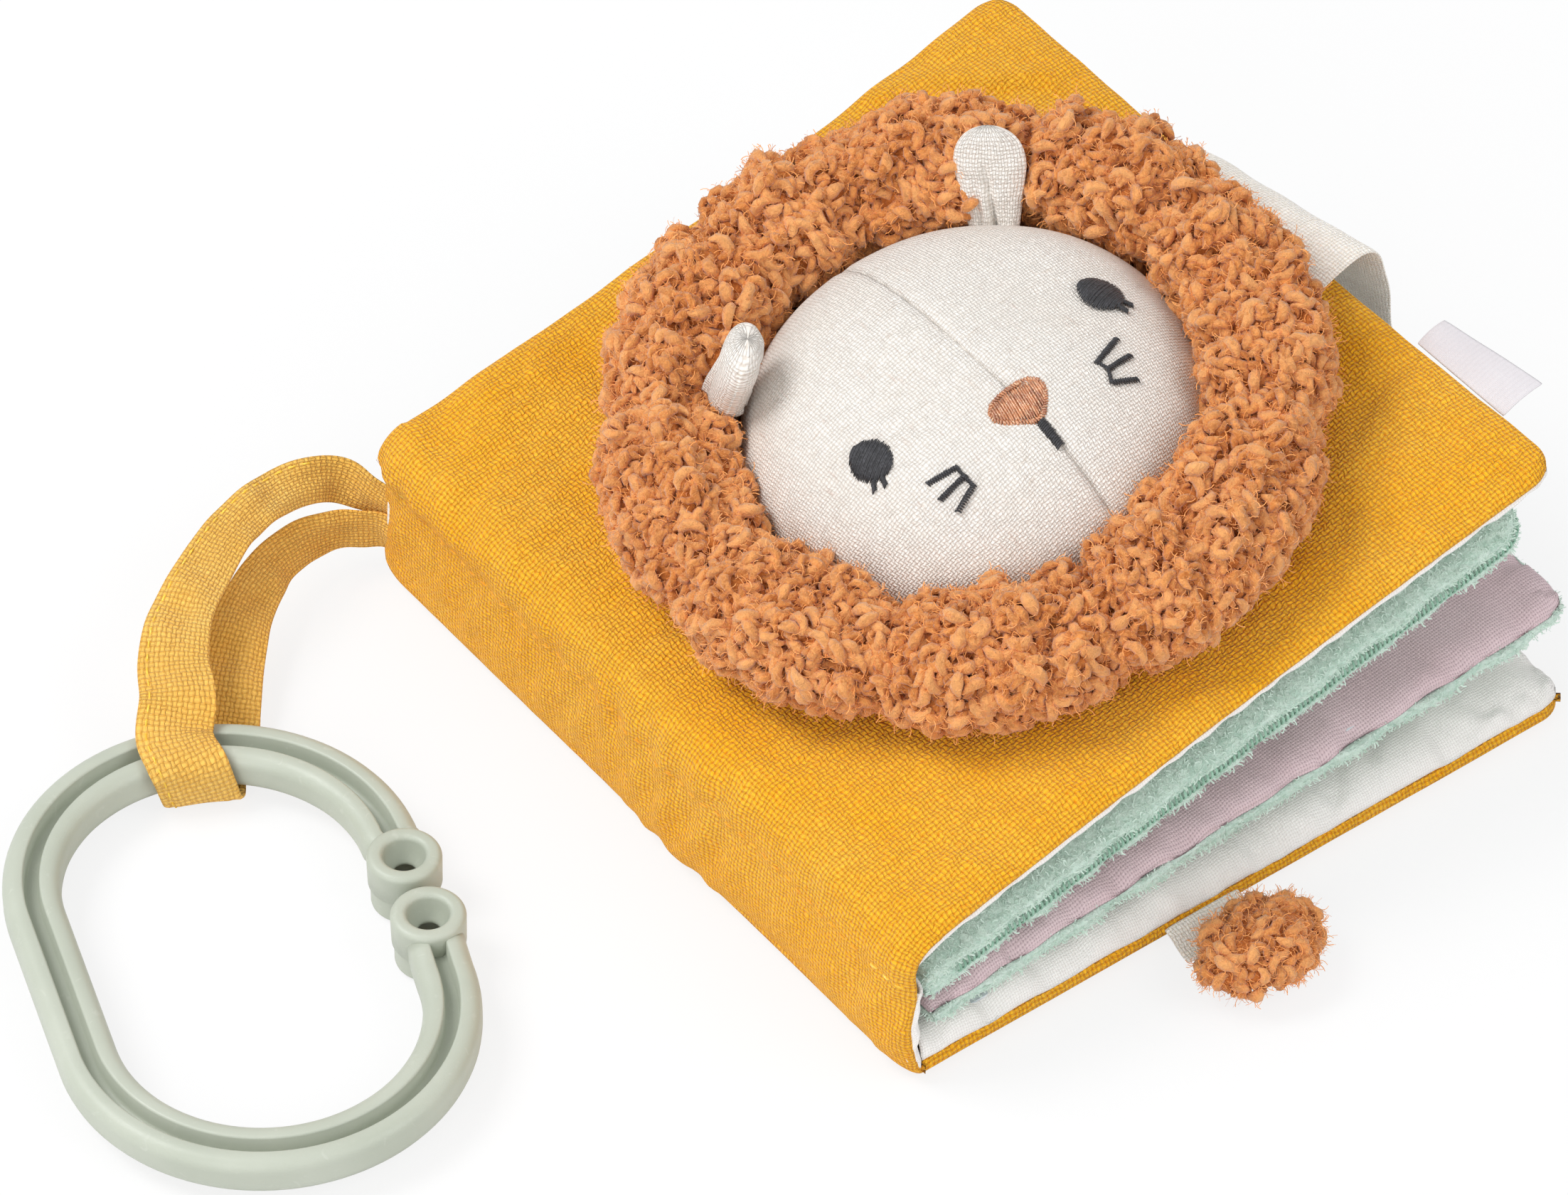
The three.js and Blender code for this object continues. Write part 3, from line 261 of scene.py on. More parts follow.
def cloth_piece(name, outer, inner, cut, material):
    """A closed cloth with a grid of points for its right side and one for its wrong side."""
    rows, columns = outer.shape[:2]
    for side in (outer, inner):  # no point stands out at a rounded corner
        for row, column in ((0, 0), (0, -1), (-1, 0), (-1, -1)):
            beside, along = 1 if column == 0 else -2, 1 if row == 0 else -2
            side[row, column] = (side[row, beside] + side[along, column]) / 2
    total = rows * columns
    at = np.arange(total).reshape(rows, columns)
    a, b, c, d = at[:-1, :-1], at[:-1, 1:], at[1:, 1:], at[1:, :-1]
    right_side = np.stack([a, b, c, d], -1).reshape(-1, 4)
    wrong_side = np.stack([a, d, c, b], -1).reshape(-1, 4) + total
    rim = np.concatenate([at[0, :], at[1:, -1], at[-1, -2::-1], at[-2:0:-1, 0]])
    on = np.roll(rim, -1)
    edge_faces = np.stack([on, rim, rim + total, on + total], -1)
    faces = np.concatenate([right_side, wrong_side, edge_faces]).tolist()
    points = np.concatenate([outer.reshape(-1, 3), inner.reshape(-1, 3)])
    flat = np.stack(np.broadcast_arrays(*cut), -1).reshape(-1, 2)
    return piece_from(name, points, faces, np.concatenate([flat, flat]), material)


def calc_3d(tree, operation, **feeds):
    """A sum on places or directions."""
    return add(tree, "ShaderNodeVectorMath", {"operation": operation}, **feeds)


def mixed(tree, share, first, second):
    """A colour between two colours."""
    return add(tree, "ShaderNodeMix", {"data_type": "RGBA"}, n0=share, n6=first, n7=second).outputs[2]


def spread(tree, value, low, high, out_low=0.0, out_high=1.0):
    """A value between low and high, drawn out to lie between two others."""
    return add(tree, "ShaderNodeMapRange", Value=value, From_Min=low, From_Max=high,
               To_Min=out_low, To_Max=out_high)


def noise(tree, place, scale, detail, **more):
    return add(tree, "ShaderNodeTexNoise", Vector=place, Scale=scale, Detail=detail, **more)


def embossed(tree, shader, depth, height):
    """Raises a surface by a height from 0 to 1 times a depth in millimetres."""
    feed(tree, shader, Normal=add(tree, "ShaderNodeBump", Distance=depth / 1000, Height=height))


def new_group(name, kind, takes, makes):
    """An empty group of nodes with named inputs: its tree, their keys, what they give, and its outputs."""
    tree = bpy.data.node_groups.new(name, kind)
    def socket(label, way, what):
        return tree.interface.new_socket(label, in_out=way, socket_type="NodeSocket" + what).identifier
    keys = {label: socket(label, "INPUT", what) for label, what in takes.items()}
    for label, what in makes.items():
        socket(label, "OUTPUT", what)
    given, gives = tree.nodes.new("NodeGroupInput"), tree.nodes.new("NodeGroupOutput")
    return tree, keys, given.outputs, gives


def weave_group():
    """Plain weave on a flat cut: how high the yarn stands, where the gaps are, and each yarn's shade."""
    tree, _, given, gives = new_group(
        "woven yarns", "ShaderNodeTree",
        {"Place": "Vector", "Across pitch": "Float", "Along pitch": "Float", "Wander": "Float"},
        {"Height": "Float", "Gaps": "Float", "Shade": "Float"},
    )
    def sum_of(*values):
        return calc(tree, *values)
    drift = noise(tree, given["Place"], 0.35, 2.0)
    centred = calc_3d(tree, "SUBTRACT", n0=drift.outputs["Color"], n1=(0.5, 0.5, 0.5))
    pulled = calc_3d(tree, "SCALE", n0=centred, Scale=sum_of("MULTIPLY", given["Wander"], 6.0))
    placed = calc_3d(tree, "ADD", n0=given["Place"], n1=pulled)
    parts = add(tree, "ShaderNodeSeparateXYZ", Vector=placed).outputs
    x = sum_of("DIVIDE", parts["X"], given["Across pitch"])
    y = sum_of("DIVIDE", parts["Y"], given["Along pitch"])
    wave_x, wave_y = (sum_of("SINE", sum_of("MULTIPLY", way, math.pi)) for way in (x, y))
    both = sum_of("MULTIPLY", wave_x, wave_y)
    over = add(tree, "ShaderNodeClamp", Value=sum_of("MULTIPLY_ADD", both, 1.6, 0.5))
    warp, weft = sum_of("ABSOLUTE", wave_x), sum_of("ABSOLUTE", wave_y)
    opening = sum_of("MULTIPLY", sum_of("SUBTRACT", 1.0, warp), sum_of("SUBTRACT", 1.0, weft))
    gaps = spread(tree, sum_of("MAXIMUM", opening, 0.0), 0.06, 0.5)
    warp_shade, weft_shade = (
        add(tree, "ShaderNodeTexWhiteNoise", {"noise_dimensions": "1D"}, W=number).outputs["Value"]
        for number in (sum_of("FLOOR", x), sum_of("ADD", sum_of("FLOOR", y), 0.37))
    )
    height, shade = (
        add(tree, "ShaderNodeMix", {"data_type": "FLOAT"}, n0=over, n2=under, n3=upper)
        for under, upper in ((weft, warp), (weft_shade, warp_shade))
    )
    feed(tree, gives, Height=height, Gaps=gaps, Shade=shade)
    return tree


woven_yarns = weave_group()


def woven_cloth(name, colour, gap_colour, light_colour, pitch, wander, relief, gap_share, uneven=0.35):
    """A plain woven cloth on its own cut: yarn relief, gaps between yarns and cloudy dyeing."""
    material, tree, shader = new_material(name)
    cut = add(tree, "ShaderNodeUVMap", {"uv_map": "cut"}).outputs["UV"]
    yarns = add(tree, "ShaderNodeGroup", {"node_tree": woven_yarns}, Place=cut, Across_pitch=pitch[0],
                Along_pitch=pitch[1], Wander=wander)
    cloud = noise(tree, cut, 0.06, 3.0)
    slub = noise(tree, cut, 0.9, 2.0)
    tone = mixed(tree, spread(tree, cloud, 0.3, 0.7, 0.0, 0.55), colour, light_colour)
    tone = mixed(tree, spread(tree, yarns.outputs["Shade"], 0.0, 1.0, 0.0, uneven * 0.4), tone, gap_colour)
    tone = mixed(tree, spread(tree, slub, 0.45, 0.7, 0.0, uneven * 0.5), tone, gap_colour)
    tone = mixed(tree, spread(tree, yarns.outputs["Gaps"], 0.0, 1.0, 0.0, gap_share), tone, gap_colour)
    feed(tree, shader, Base_Color=tone)
    lift = calc(tree, "MULTIPLY_ADD", slub, 0.5, yarns.outputs["Height"])
    embossed(tree, shader, relief, lift)
    rough = spread(tree, yarns.outputs["Height"], 0.0, 1.0, 1.0, 0.82)
    feed(tree, shader, Roughness=rough, Specular_IOR_Level=0.2, Sheen_Weight=0.12, Sheen_Roughness=0.5)
    return material


gauze = woven_cloth(
    "mustard_double_gauze", mustard, mustard_deep, mustard_light, (0.86, 0.86), 0.24, 0.42, 0.85, 0.4
)


def arc_points(middle, radii, start, end, count):
    """Points of a rolled edge, inset and level, on part of an oval. At 0 degrees it is at its outermost."""
    turns = np.radians(np.linspace(start, end, count))
    return [(middle[0] - radii[0] * math.cos(t), middle[1] + radii[1] * math.sin(t)) for t in turns]


# From the seam, over the widest part and round to the flat underside: inset and level.
back_edge = np.array(
    arc_points((2.6, 1.9), (2.6, 2.0), 52, 0, 5) + arc_points((7.0, 1.9), (7.0, 1.9), -12, -90, 8)
)
x, y, depth, level, cut = panel_grid(back_start, back_end, 0, cover_height, back_edge, 1.6)
x, y = rounded_corners(x, y, back_end, 0, cover_height)
x = x - 1.2 * np.exp(-y / 1.2) * np.exp(-(x - back_start) / 2.5)  # the corner's point meets the spine
wavy = 0.22 * rippled(3, 11, x, y) * (1 - depth / (len(back_edge) - 1))
outer = np.stack([x, y, level + wavy * 0.4], -1)[:, ::-1]
inner = outer - facing(outer) * cloth_thickness * 0.8
cut = [part[:, ::-1] for part in cut]
back_cloth = cloth_piece("back_cover_gauze", outer, inner, cut, gauze)


def belongs(piece, body, slot, *stands_for):
    """Says which body a piece rides on and hides the CAD pieces it stands for. Its slot is not used."""
    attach(piece, body)
    if stands_for:
        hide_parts(*stands_for)


belongs(back_cloth, "back", "mustard_gauze", "back_cover_outer")

# Spine and front cover, outer cloth
# One piece of the same gauze runs from under the spine, up its outside and over the front cover.
# A row of topstitching on the hinge line catches it to the lining, and the cover opens there.
hinge_x, hinge_z, cover_tilt = 0.4, 22.0, math.radians(13.4)
spine_height, spine_bulge, foot_inset, foot_round, spine_tuck = 21.6, 0.8, 4.2, 0.5, 2.2
cover_top, shoulder, lip = 9.7, 9.0, 0.9
cover_along = np.array([math.cos(cover_tilt), 0, math.sin(cover_tilt)])
cover_out = np.array([-math.sin(cover_tilt), 0, math.cos(cover_tilt)])


def on_cover(along, up_edge, raised):
    """Points on the front cover: from the hinge line, up from the bottom edge, out from the hinge."""
    along, up_edge, raised = (part[..., None] for part in np.broadcast_arrays(along, up_edge, raised))
    hinge = np.array([hinge_x, 0, hinge_z])
    return hinge + along * cover_along + up_edge * np.array([0, 1.0, 0]) + raised * cover_out


def quarter_roll(distance, radius):
    """How far up a rounded edge has come, from 0 to 1, at a distance in from its outermost line."""
    left = 1 - np.clip(distance / radius, 0, 1)
    return np.sqrt(1 - left * left)


def spine_face(z):
    """How far in the spine's outer face is at each height: bulged, with a rounded foot."""
    height = z / spine_height
    foot = 1 - quarter_roll(height, foot_round)
    return hinge_x - spine_bulge * np.sin(math.pi * np.clip(height, 0, 1)) + (foot_inset - hinge_x) * foot


def sewn_puckers(width, height, ease, seed, columns=72, rows=76, last_frame=26):
    """How a padded panel's cloth puckers, in millimetres: blown up by its wadding with its edge sewn down."""
    x, y = np.meshgrid(np.linspace(0, width / 100, columns), np.linspace(0, height / 100, rows))
    at = np.arange(rows * columns).reshape(rows, columns)
    faces = np.stack([at[:-1, :-1], at[:-1, 1:], at[1:, 1:], at[1:, :-1]], -1).reshape(-1, 4)
    mesh = bpy.data.meshes.new("blown_cloth")
    start = np.stack([x, y, 0.004 * rippled(seed, 0.16, x, y)], -1)
    mesh.from_pydata(start.reshape(-1, 3).tolist(), [], faces.tolist())
    panel = bpy.data.objects.new("blown_cloth", mesh)
    bpy.context.collection.objects.link(panel)
    seam = np.ones((rows, columns), bool)
    seam[1:-1, 1:-1] = False
    panel.vertex_groups.new(name="seam").add(at[seam].tolist(), 1.0, "REPLACE")
    cloth = panel.modifiers.new("cloth", "CLOTH")
    cloth.settings.vertex_group_mass = "seam"
    cloth.settings.shrink_min = -ease
    cloth.settings.use_pressure = True
    cloth.settings.uniform_pressure_force = 4
    cloth.settings.tension_stiffness = cloth.settings.compression_stiffness = 20
    cloth.settings.shear_stiffness = 8
    cloth.settings.bending_stiffness = 0.2
    cloth.settings.air_damping = 2
    cloth.settings.effector_weights.gravity = 0
    cloth.point_cache.frame_end = last_frame
    for frame_number in range(1, last_frame + 1):
        bpy.context.scene.frame_set(frame_number)
    shapes = bpy.context.evaluated_depsgraph_get()
    blown = np.zeros(rows * columns * 3)
    panel.evaluated_get(shapes).data.vertices.foreach_get("co", blown)
    bpy.data.objects.remove(panel)
    bpy.context.scene.frame_set(1)
    relief = blown.reshape(rows, columns, 3)[..., 2] * 100
    relief -= (relief + relief[::-1] + relief[:, ::-1] + relief[::-1, ::-1]) / 4
    blur = np.exp(-((np.arange(-9, 10) / 5.0) ** 2))
    blur /= blur.sum()
    soften = lambda line: np.convolve(np.pad(line, 9, mode="edge"), blur, "valid")
    relief = relief - np.apply_along_axis(soften, 1, np.apply_along_axis(soften, 0, relief))

    def puckers(across, up):
        a, b = np.clip(across / width, 0, 1) * (columns - 1), np.clip(up / height, 0, 1) * (rows - 1)
        i, j = np.minimum(a.astype(int), columns - 2), np.minimum(b.astype(int), rows - 2)
        s, t = a - i, b - j
        low = relief[j, i] * (1 - s) + relief[j, i + 1] * s
        return low * (1 - t) + (relief[j + 1, i] * (1 - s) + relief[j + 1, i + 1] * s) * t

    return puckers


def drawn_in(along, up_edge):
    """The cover's edges pull in between its corners, most along the top."""
    along_share, up_share = np.clip(along / cover_width, 0, 1), up_edge / cover_height
    belly = np.sin(math.pi * along_share)
    up_edge = up_edge + belly * (0.8 * (1 - up_share) ** 4 - 2.0 * up_share**4)
    return along - 0.9 * np.sin(math.pi * up_share) * along_share**6, up_edge


gauze_puckers = sewn_puckers(cover_width, cover_height, 0.05, 12)
spine_levels = np.concatenate([[0.0, 0.05, 0.2, 0.5], np.linspace(0.9, spine_height, 26)])
spine_run = np.stack([spine_face(spine_levels), spine_levels], -1)
foot_run = np.array([[5.45, 0.0], [4.9, 0.0], [4.5, 0.0]])
shoulder_steps = shoulder * (1 - np.cos(np.linspace(0, math.pi / 2, 14)))
shoulder_lift = lip + (cover_top - lip) * quarter_roll(shoulder_steps, shoulder)
shoulder_run = on_cover(shoulder_steps, 0.0, shoulder_lift)[:, [0, 2]]
cover_edge = np.array([(0.5, -2.7), (0.12, -2.3)] + arc_points((7.0, -1.9), (7.0, 1.9), 0, 90, 11))
fore_lines, fore_depth = cloth_lines(shoulder + 0.9, cover_width, cover_edge, False, True, 1.15)
cover_run = on_cover(fore_lines, 0.0, np.full(len(fore_lines), cover_top))[:, [0, 2]]
run = np.concatenate([foot_run, spine_run, shoulder_run, cover_run])
run_depth = np.concatenate([np.full(len(run) - len(fore_lines), len(cover_edge) - 1.0), fore_depth])
hinge_row = len(foot_run) + len(spine_run)
# The stitches draw the cloth in, so the hollow on the hinge line is round and not sharp.
near_hinge = slice(hinge_row - 5, hinge_row + 6)
for _ in range(6):
    run[near_hinge] = ((np.roll(run, 1, 0) + 2 * run + np.roll(run, -1, 0)) / 4)[near_hinge]
heading = unit(np.gradient(run, axis=0))
run_out = np.stack([-heading[:, 1], np.zeros(len(run)), heading[:, 0]], -1)
fore = slice(len(run) - len(fore_lines) + 2, len(run))
run_out[fore] = cover_out
run_length = run_lengths(run)
rows, row_depth = cloth_lines(0, cover_height, cover_edge, True, True, 1.15)
depth = np.minimum(run_depth[None, :], row_depth[:, None])
drop = np.interp(depth, np.arange(len(cover_edge)), cover_edge[:, 1])
up_edge = np.broadcast_to(rows[:, None], depth.shape)
from_hinge = (run_length - run_length[hinge_row])[None, :]
along = np.maximum(from_hinge, 0) + 0 * up_edge
on_cover_line = np.concatenate([np.zeros(len(run) - len(fore_lines)), fore_lines])[None, :]
along_corner, up_corner = rounded_corners(on_cover_line + 0 * up_edge, up_edge, cover_width, 0, cover_height)
along_corner, up_corner = drawn_in(along_corner, up_corner)
grid = np.stack(np.broadcast_arrays(run[None, :, 0], up_corner, run[None, :, 1]), -1)
grid = grid + (along_corner - on_cover_line)[..., None] * cover_along
on_spine = np.clip(1 - np.maximum(from_hinge, 0) / 4, 0, 1) * np.clip((grid[..., 2] - 1) / 6, 0, 1)
foot_share = 1 - quarter_roll(grid[..., 2] / spine_height, foot_round)
grid[..., 0] += spine_tuck * (up_edge / cover_height) ** 3 * (1 - foot_share) * on_spine
from_edge = np.minimum(up_edge, cover_height - up_edge)
from_edge = np.minimum(from_edge, np.where(from_hinge > 40, cover_width - along_corner, 99))
puckers = np.minimum(0.75 * gauze_puckers(along, up_edge), 0.9) * (0.35 + 0.65 * np.exp(-from_edge / 16.0))
crinkle = 0.45 * rippled(5, 24, along + 0.3 * up_edge, 0.35 * up_edge) + 0.16 * rippled(6, 7, along, up_edge)
along_rim = np.where(cover_width - along_corner < np.minimum(up_edge, cover_height - up_edge), up_edge, along)
crinkle = crinkle + 0.5 * rippled(14, 13, along_rim, from_edge * 0.3) * np.exp(-from_edge / 12)
spine_folds = 0.45 * rippled(8, 9, up_edge + 0.6 * run[None, :, 1]) * np.exp(-np.abs(from_hinge + 9) / 9)
pull = 0.4 * rippled(9, 7, up_edge) * np.exp(-np.abs(from_hinge) / 4.5)
pull = pull + 0.5 * np.exp(-(((from_hinge - 9) / 5) ** 2)) * rippled(10, 22, up_edge + from_hinge)
flat_part = np.clip(depth / (len(cover_edge) - 1), 0, 1)
swell = puckers * np.clip(depth / 3, 0.2, 1) + crinkle * flat_part + spine_folds + pull - 0.1
swell = np.maximum(swell, -0.7)
swell = np.where(run[None, :, 1] < 3, swell * 0.1, swell)
grid += run_out[None, :, :] * (drop + swell)[..., None]
grid[..., 2] = np.maximum(grid[..., 2], 0.05)
outer, inner = grid, grid - facing(grid) * cloth_thickness * 0.7
inner[..., 2] = np.maximum(inner[..., 2], 0.05)
cut = np.meshgrid(run_length, lengths_along(rows, row_depth, cover_edge))
cover_cloth = cloth_piece("front_cover_and_spine_gauze", outer, inner, cut, gauze)
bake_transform(cover_cloth)
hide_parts("spine_outer", "front_cover_outer")


def strand(points, out, width, height, sides=6):
    """One strand of thread along its points, drawn in at both ends. Out is the way it is looked at from."""
    points = np.asarray(points, float)
    heading = unit(np.gradient(points, axis=0))
    side_way = unit(np.cross(out, heading))
    out_way = np.cross(heading, side_way)
    share = np.linspace(-1, 1, len(points))
    fat = np.sqrt(np.maximum(1 - share**6, 0.12))[:, None, None]
    turns = np.linspace(0, 2 * math.pi, sides, endpoint=False)[None, :, None]
    return points[:, None, :] + fat * (
        np.cos(turns) * width / 2 * side_way[:, None, :] + np.sin(turns) * height / 2 * out_way[:, None, :]
    )


def strands_piece(name, strands, material):
    """Many strands as one piece, each closed at its ends."""
    points, faces, start = [], [], 0
    for ring in strands:
        rows, sides = ring.shape[:2]
        at = start + np.arange(rows * sides).reshape(rows, sides)
        nxt = np.roll(at, -1, 1)
        faces += np.stack([at[:-1], nxt[:-1], nxt[1:], at[1:]], -1).reshape(-1, 4).tolist()
        faces.append(at[0, ::-1].tolist())
        faces.append(at[-1].tolist())
        points.append(ring.reshape(-1, 3))
        start += rows * sides
    return piece_from(name, np.concatenate(points), faces, None, material)


def running_stitches(line, outs, pitch, length, width, sunk=0.12):
    """Stitches one after another along a line on a cloth, each dipping into it at both ends."""
    run = run_lengths(line)
    made = []
    for begin in np.arange(pitch / 2, run[-1] - length, pitch):
        at = begin + np.linspace(0, length, 5)
        place = np.stack([np.interp(at, run, line[:, i]) for i in range(3)], -1)
        out = np.array([np.interp(begin + length / 2, run, outs[:, i]) for i in range(3)])
        rise = width * 0.5 * np.array([-0.6, 0.6, 0.8, 0.6, -0.6]) - sunk
        made.append(strand(place + rise[:, None] * out, out, width, width * 0.8, 5))
    return made


def book_place(tree):
    """Where a point is on its piece, in metres."""
    return add(tree, "ShaderNodeTexCoord").outputs["Object"]


def thread_material(name, colour, deep, light, shine):
    """Twisted thread, its strands a little lighter and darker than each other, and its raised plies painted
    lighter: a painted highlight on their crests.
    """
    material, tree, shader = new_material(name)
    place = book_place(tree)
    plies = noise(tree, place, 2600.0, 3.0)
    strands_tone = noise(tree, place, 700.0, 2.0)
    tone = mixed(tree, spread(tree, strands_tone, 0.35, 0.65), deep, colour)
    tone = mixed(tree, spread(tree, plies, 0.5, 0.72, 0.0, 0.7), tone, light)
    feed(tree, shader, Base_Color=tone)
    embossed(tree, shader, 0.1, plies)
    feed(tree, shader, Roughness=spread(tree, plies, 0.3, 0.7, shine + 0.15, shine), Sheen_Weight=0.1)
    return material


yellow_thread = thread_material(
    "yellow_thread", srgb(252, 212, 70), srgb(232, 180, 40), srgb(255, 230, 130), 0.45
)
mustard_thread = thread_material(
    "mustard_thread", srgb(248, 178, 24), srgb(222, 146, 8), srgb(252, 196, 70), 0.6
)
hinge_line, hinge_out = outer[:, hinge_row], facing(outer)[:, hinge_row]
rows_in_all, rows_at_end = len(hinge_line), len(hinge_line) // 9
for name, first, last, thread in (
    ("near", 2, rows_at_end, yellow_thread),
    ("middle", rows_at_end, rows_in_all - rows_at_end, mustard_thread),
    ("far", rows_in_all - rows_at_end, rows_in_all - 2, yellow_thread),
):
    run_of_stitches = running_stitches(hinge_line[first:last], hinge_out[first:last], 3.1, 2.3, 0.5)
    hinge_stitches = strands_piece("hinge_topstitches_" + name, run_of_stitches, thread)
    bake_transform(hinge_stitches)

# Back cover lining
# Plain white cotton, eased in round the edge, so it stands in small puckers along the seam.
# A deeper crease runs in from the corner at the spine.
lining_edge = np.array([(1.15, 3.2), (0.75, 3.7)] + arc_points((7.15, 4.2), (6.6, 3.9), 4, 90, 12))
flat_x, flat_y, depth, level, cut = panel_grid(back_start, back_end, 0, cover_height, lining_edge, 1.2)
x, y = rounded_corners(flat_x, flat_y, back_end, 0, cover_height)
x = x - 1.3 * np.exp(-flat_y / 1.2) * np.exp(-(flat_x - back_start) / 2.5)
near_edge, along_edge = beside_seam(flat_x, flat_y, back_end, 0, cover_height)
eased = rippled(21, 9, along_edge, near_edge * 0.35) + 0.6 * rippled(22, 5, along_edge, near_edge * 0.3)
dip = np.minimum(1.2 * np.exp(-np.maximum(near_edge - 1.5, 0) / 7.5) * eased - 0.25, 0.25)
cotton_puckers = sewn_puckers(cover_width, cover_height, 0.08, 23)
dip = np.minimum(dip + 1.1 * np.minimum(cotton_puckers(flat_x, flat_y), 0.2), 0.15)
dip = np.maximum(dip, -0.45 - 1.3 * np.exp(-near_edge / 4))
crease = np.exp(-(((flat_x - 17 - 0.62 * flat_y) / 2.6) ** 2)) * np.exp(-flat_y / 9) * 1.3
level = level + (dip - crease) * np.clip(depth / 4, 0, 1)
outer = np.stack([x, y, level], -1)
inner = outer - facing(outer) * cloth_thickness * 0.7
inner[..., 2] = np.maximum(inner[..., 2], 2.6)
white_cotton = woven_cloth(
    "white_cotton", srgb(253, 249, 245), srgb(226, 219, 212), srgb(255, 253, 250),
    (0.5, 0.5), 0.08, 0.10, 0.5, 0.12,
)
back_lining = cloth_piece("back_cover_white_lining", outer, inner, cut, white_cotton)
belongs(back_lining, "back", "white_cotton", "back_cover_lining")

# Spine lining
# The white cotton runs up inside the spine and turns back over the wadding at each end.
# Its sewn edge shows there as a wavy white line beside the gauze.
near_end = np.array([(2.6, 1.7), (2.75, 1.0), (3.15, 0.6), (3.7, 0.7), (4.15, 1.2), (4.6, 2.4), (5.2, 5.0)])
between = np.stack([np.full(70, 5.2), np.linspace(6, cover_height - 6, 70)], -1)
far_end = near_end[::-1] * (1, -1) + (0, cover_height - 1.2)
far_end[:, 0] += np.array([0, 0.2, 0.5, 0.9, 1.3, 1.7, 2.0])
path = np.concatenate([near_end, between, far_end])
levels = np.linspace(3.0, 20.8, 24)
path_x, path_y, z = path[None, :, 0], path[None, :, 1], levels[:, None] + 0 * path[None, :, 0]
end_share = np.exp(-path_y / 2.5) + np.exp(-(cover_height - path_y) / 2.5)
bow = -0.9 * np.sin(math.pi * (z / spine_height)) * end_share
wave = 0.45 * rippled(31, 6.5, z, path_y * 0.3) * end_share
outer = np.stack([path_x + bow + wave, path_y - 0.5 * wave, z], -1)
inner = outer + facing(outer) * 0.6
cut = np.meshgrid(run_lengths(path), levels)
spine_lining = cloth_piece("spine_white_lining", inner, outer, cut, white_cotton)
belongs(spine_lining, "back", "white_cotton", "spine_lining")

# Front cover lining
# White cotton with a small scattered print of red and teal sprigs, sewn to the gauze all round.
# Its edge shows below the gauze as a thin white line.
lining_level = 4.6
lining_edge = np.array([(0.55, 2.4), (0.3, 2.0)] + arc_points((6.8, 1.5), (6.6, -1.5), 0, 90, 10))
flat_x, flat_y, depth, level, cut = panel_grid(2.9, cover_width, 0, cover_height, lining_edge, 1.4)
raised = level + lining_level
x, y = rounded_corners(flat_x, flat_y, cover_width, 0, cover_height)
near_edge, along_edge = beside_seam(flat_x, flat_y, cover_width, 0, cover_height)
eased = rippled(41, 8, along_edge, near_edge * 0.4)
scallop = 0.35 * rippled(43, 6, along_edge) * np.exp(-near_edge / 1.5)
raised = lip + (raised - lip) * quarter_roll(flat_x - 1.8, shoulder)
raised = raised + np.maximum(0.6 * np.exp(-near_edge / 6) * eased, -0.1) * np.clip(depth / 4, 0, 1) + scallop
x, y = drawn_in(x, y)
inner = on_cover(x, y, raised)
outer = inner + facing(inner) * 0.7


def sprig_print(name):
    """The white cotton with five-petalled sprigs and small dots printed on it, in two colours."""
    material = white_cotton.copy()
    material.name = name
    tree = material.node_tree
    shader = tree.nodes["Principled BSDF"]
    ground = shader.inputs["Base Color"].links[0].from_socket
    cut_place = add(tree, "ShaderNodeUVMap", {"uv_map": "cut"}).outputs["UV"]
    red, teal = srgb(226, 80, 74), srgb(74, 132, 138)
    for cell, petal, first, second in ((15.0, 3.4, red, teal), (9.0, 0.9, teal, red)):
        spots = add(tree, "ShaderNodeTexVoronoi", {"voronoi_dimensions": "2D"}, Vector=cut_place,
                    Scale=1 / cell, Randomness=0.6)
        home = calc_3d(tree, "SCALE", n0=spots.outputs["Position"], Scale=cell)
        away = calc_3d(tree, "SUBTRACT", n0=cut_place, n1=home)
        reach = calc_3d(tree, "LENGTH", n0=away).outputs["Value"]
        parts = add(tree, "ShaderNodeSeparateXYZ", Vector=away).outputs
        half_turns = calc(tree, "MULTIPLY", calc(tree, "ARCTAN2", parts["Y"], parts["X"]), 2.5)
        lobe = calc(tree, "ABSOLUTE", calc(tree, "COSINE", half_turns))
        edge = calc(tree, "MULTIPLY_ADD", lobe, petal * 0.6, petal * 0.4)
        mask = spread(tree, calc(tree, "SUBTRACT", edge, reach), -0.08, 0.12)
        pick = add(tree, "ShaderNodeSeparateXYZ", Vector=spots.outputs["Color"]).outputs["X"]
        ink = mixed(tree, calc(tree, "GREATER_THAN", pick, 0.5), first, second)
        ground = mixed(tree, mask, ground, ink)
    feed(tree, shader, Base_Color=ground)
    return material


printed_cotton = sprig_print("printed_white_cotton")
front_lining = cloth_piece("front_cover_printed_lining", outer, inner, cut, printed_cotton)
belongs(front_lining, "front", "white_cotton", "front_cover_lining")

# Wadding and crinkle film
# Polyester wadding gives each panel its loft, and a thin film beside it makes the rustle.
# They are sealed between the cloths.
wadding, tree, shader = new_material("white_wadding")
fluff = noise(tree, book_place(tree), 900.0, 6.0)
feed(tree, shader, Roughness=1, Base_Color=mixed(tree, fluff, srgb(232, 232, 228), srgb(250, 250, 248)))
embossed(tree, shader, 0.5, fluff)
film, tree, shader = new_material("crinkle_film")
place = book_place(tree)
folds = add(tree, "ShaderNodeTexVoronoi", {"feature": "DISTANCE_TO_EDGE"}, Vector=place, Scale=140.0)
pale = mixed(tree, spread(tree, folds, 0, 0.2), srgb(196, 204, 208), srgb(226, 232, 236))
feed(tree, shader, Base_Color=pale, Roughness=spread(tree, folds, 0, 0.2, 0.45, 0.25))
embossed(tree, shader, 0.6, folds)


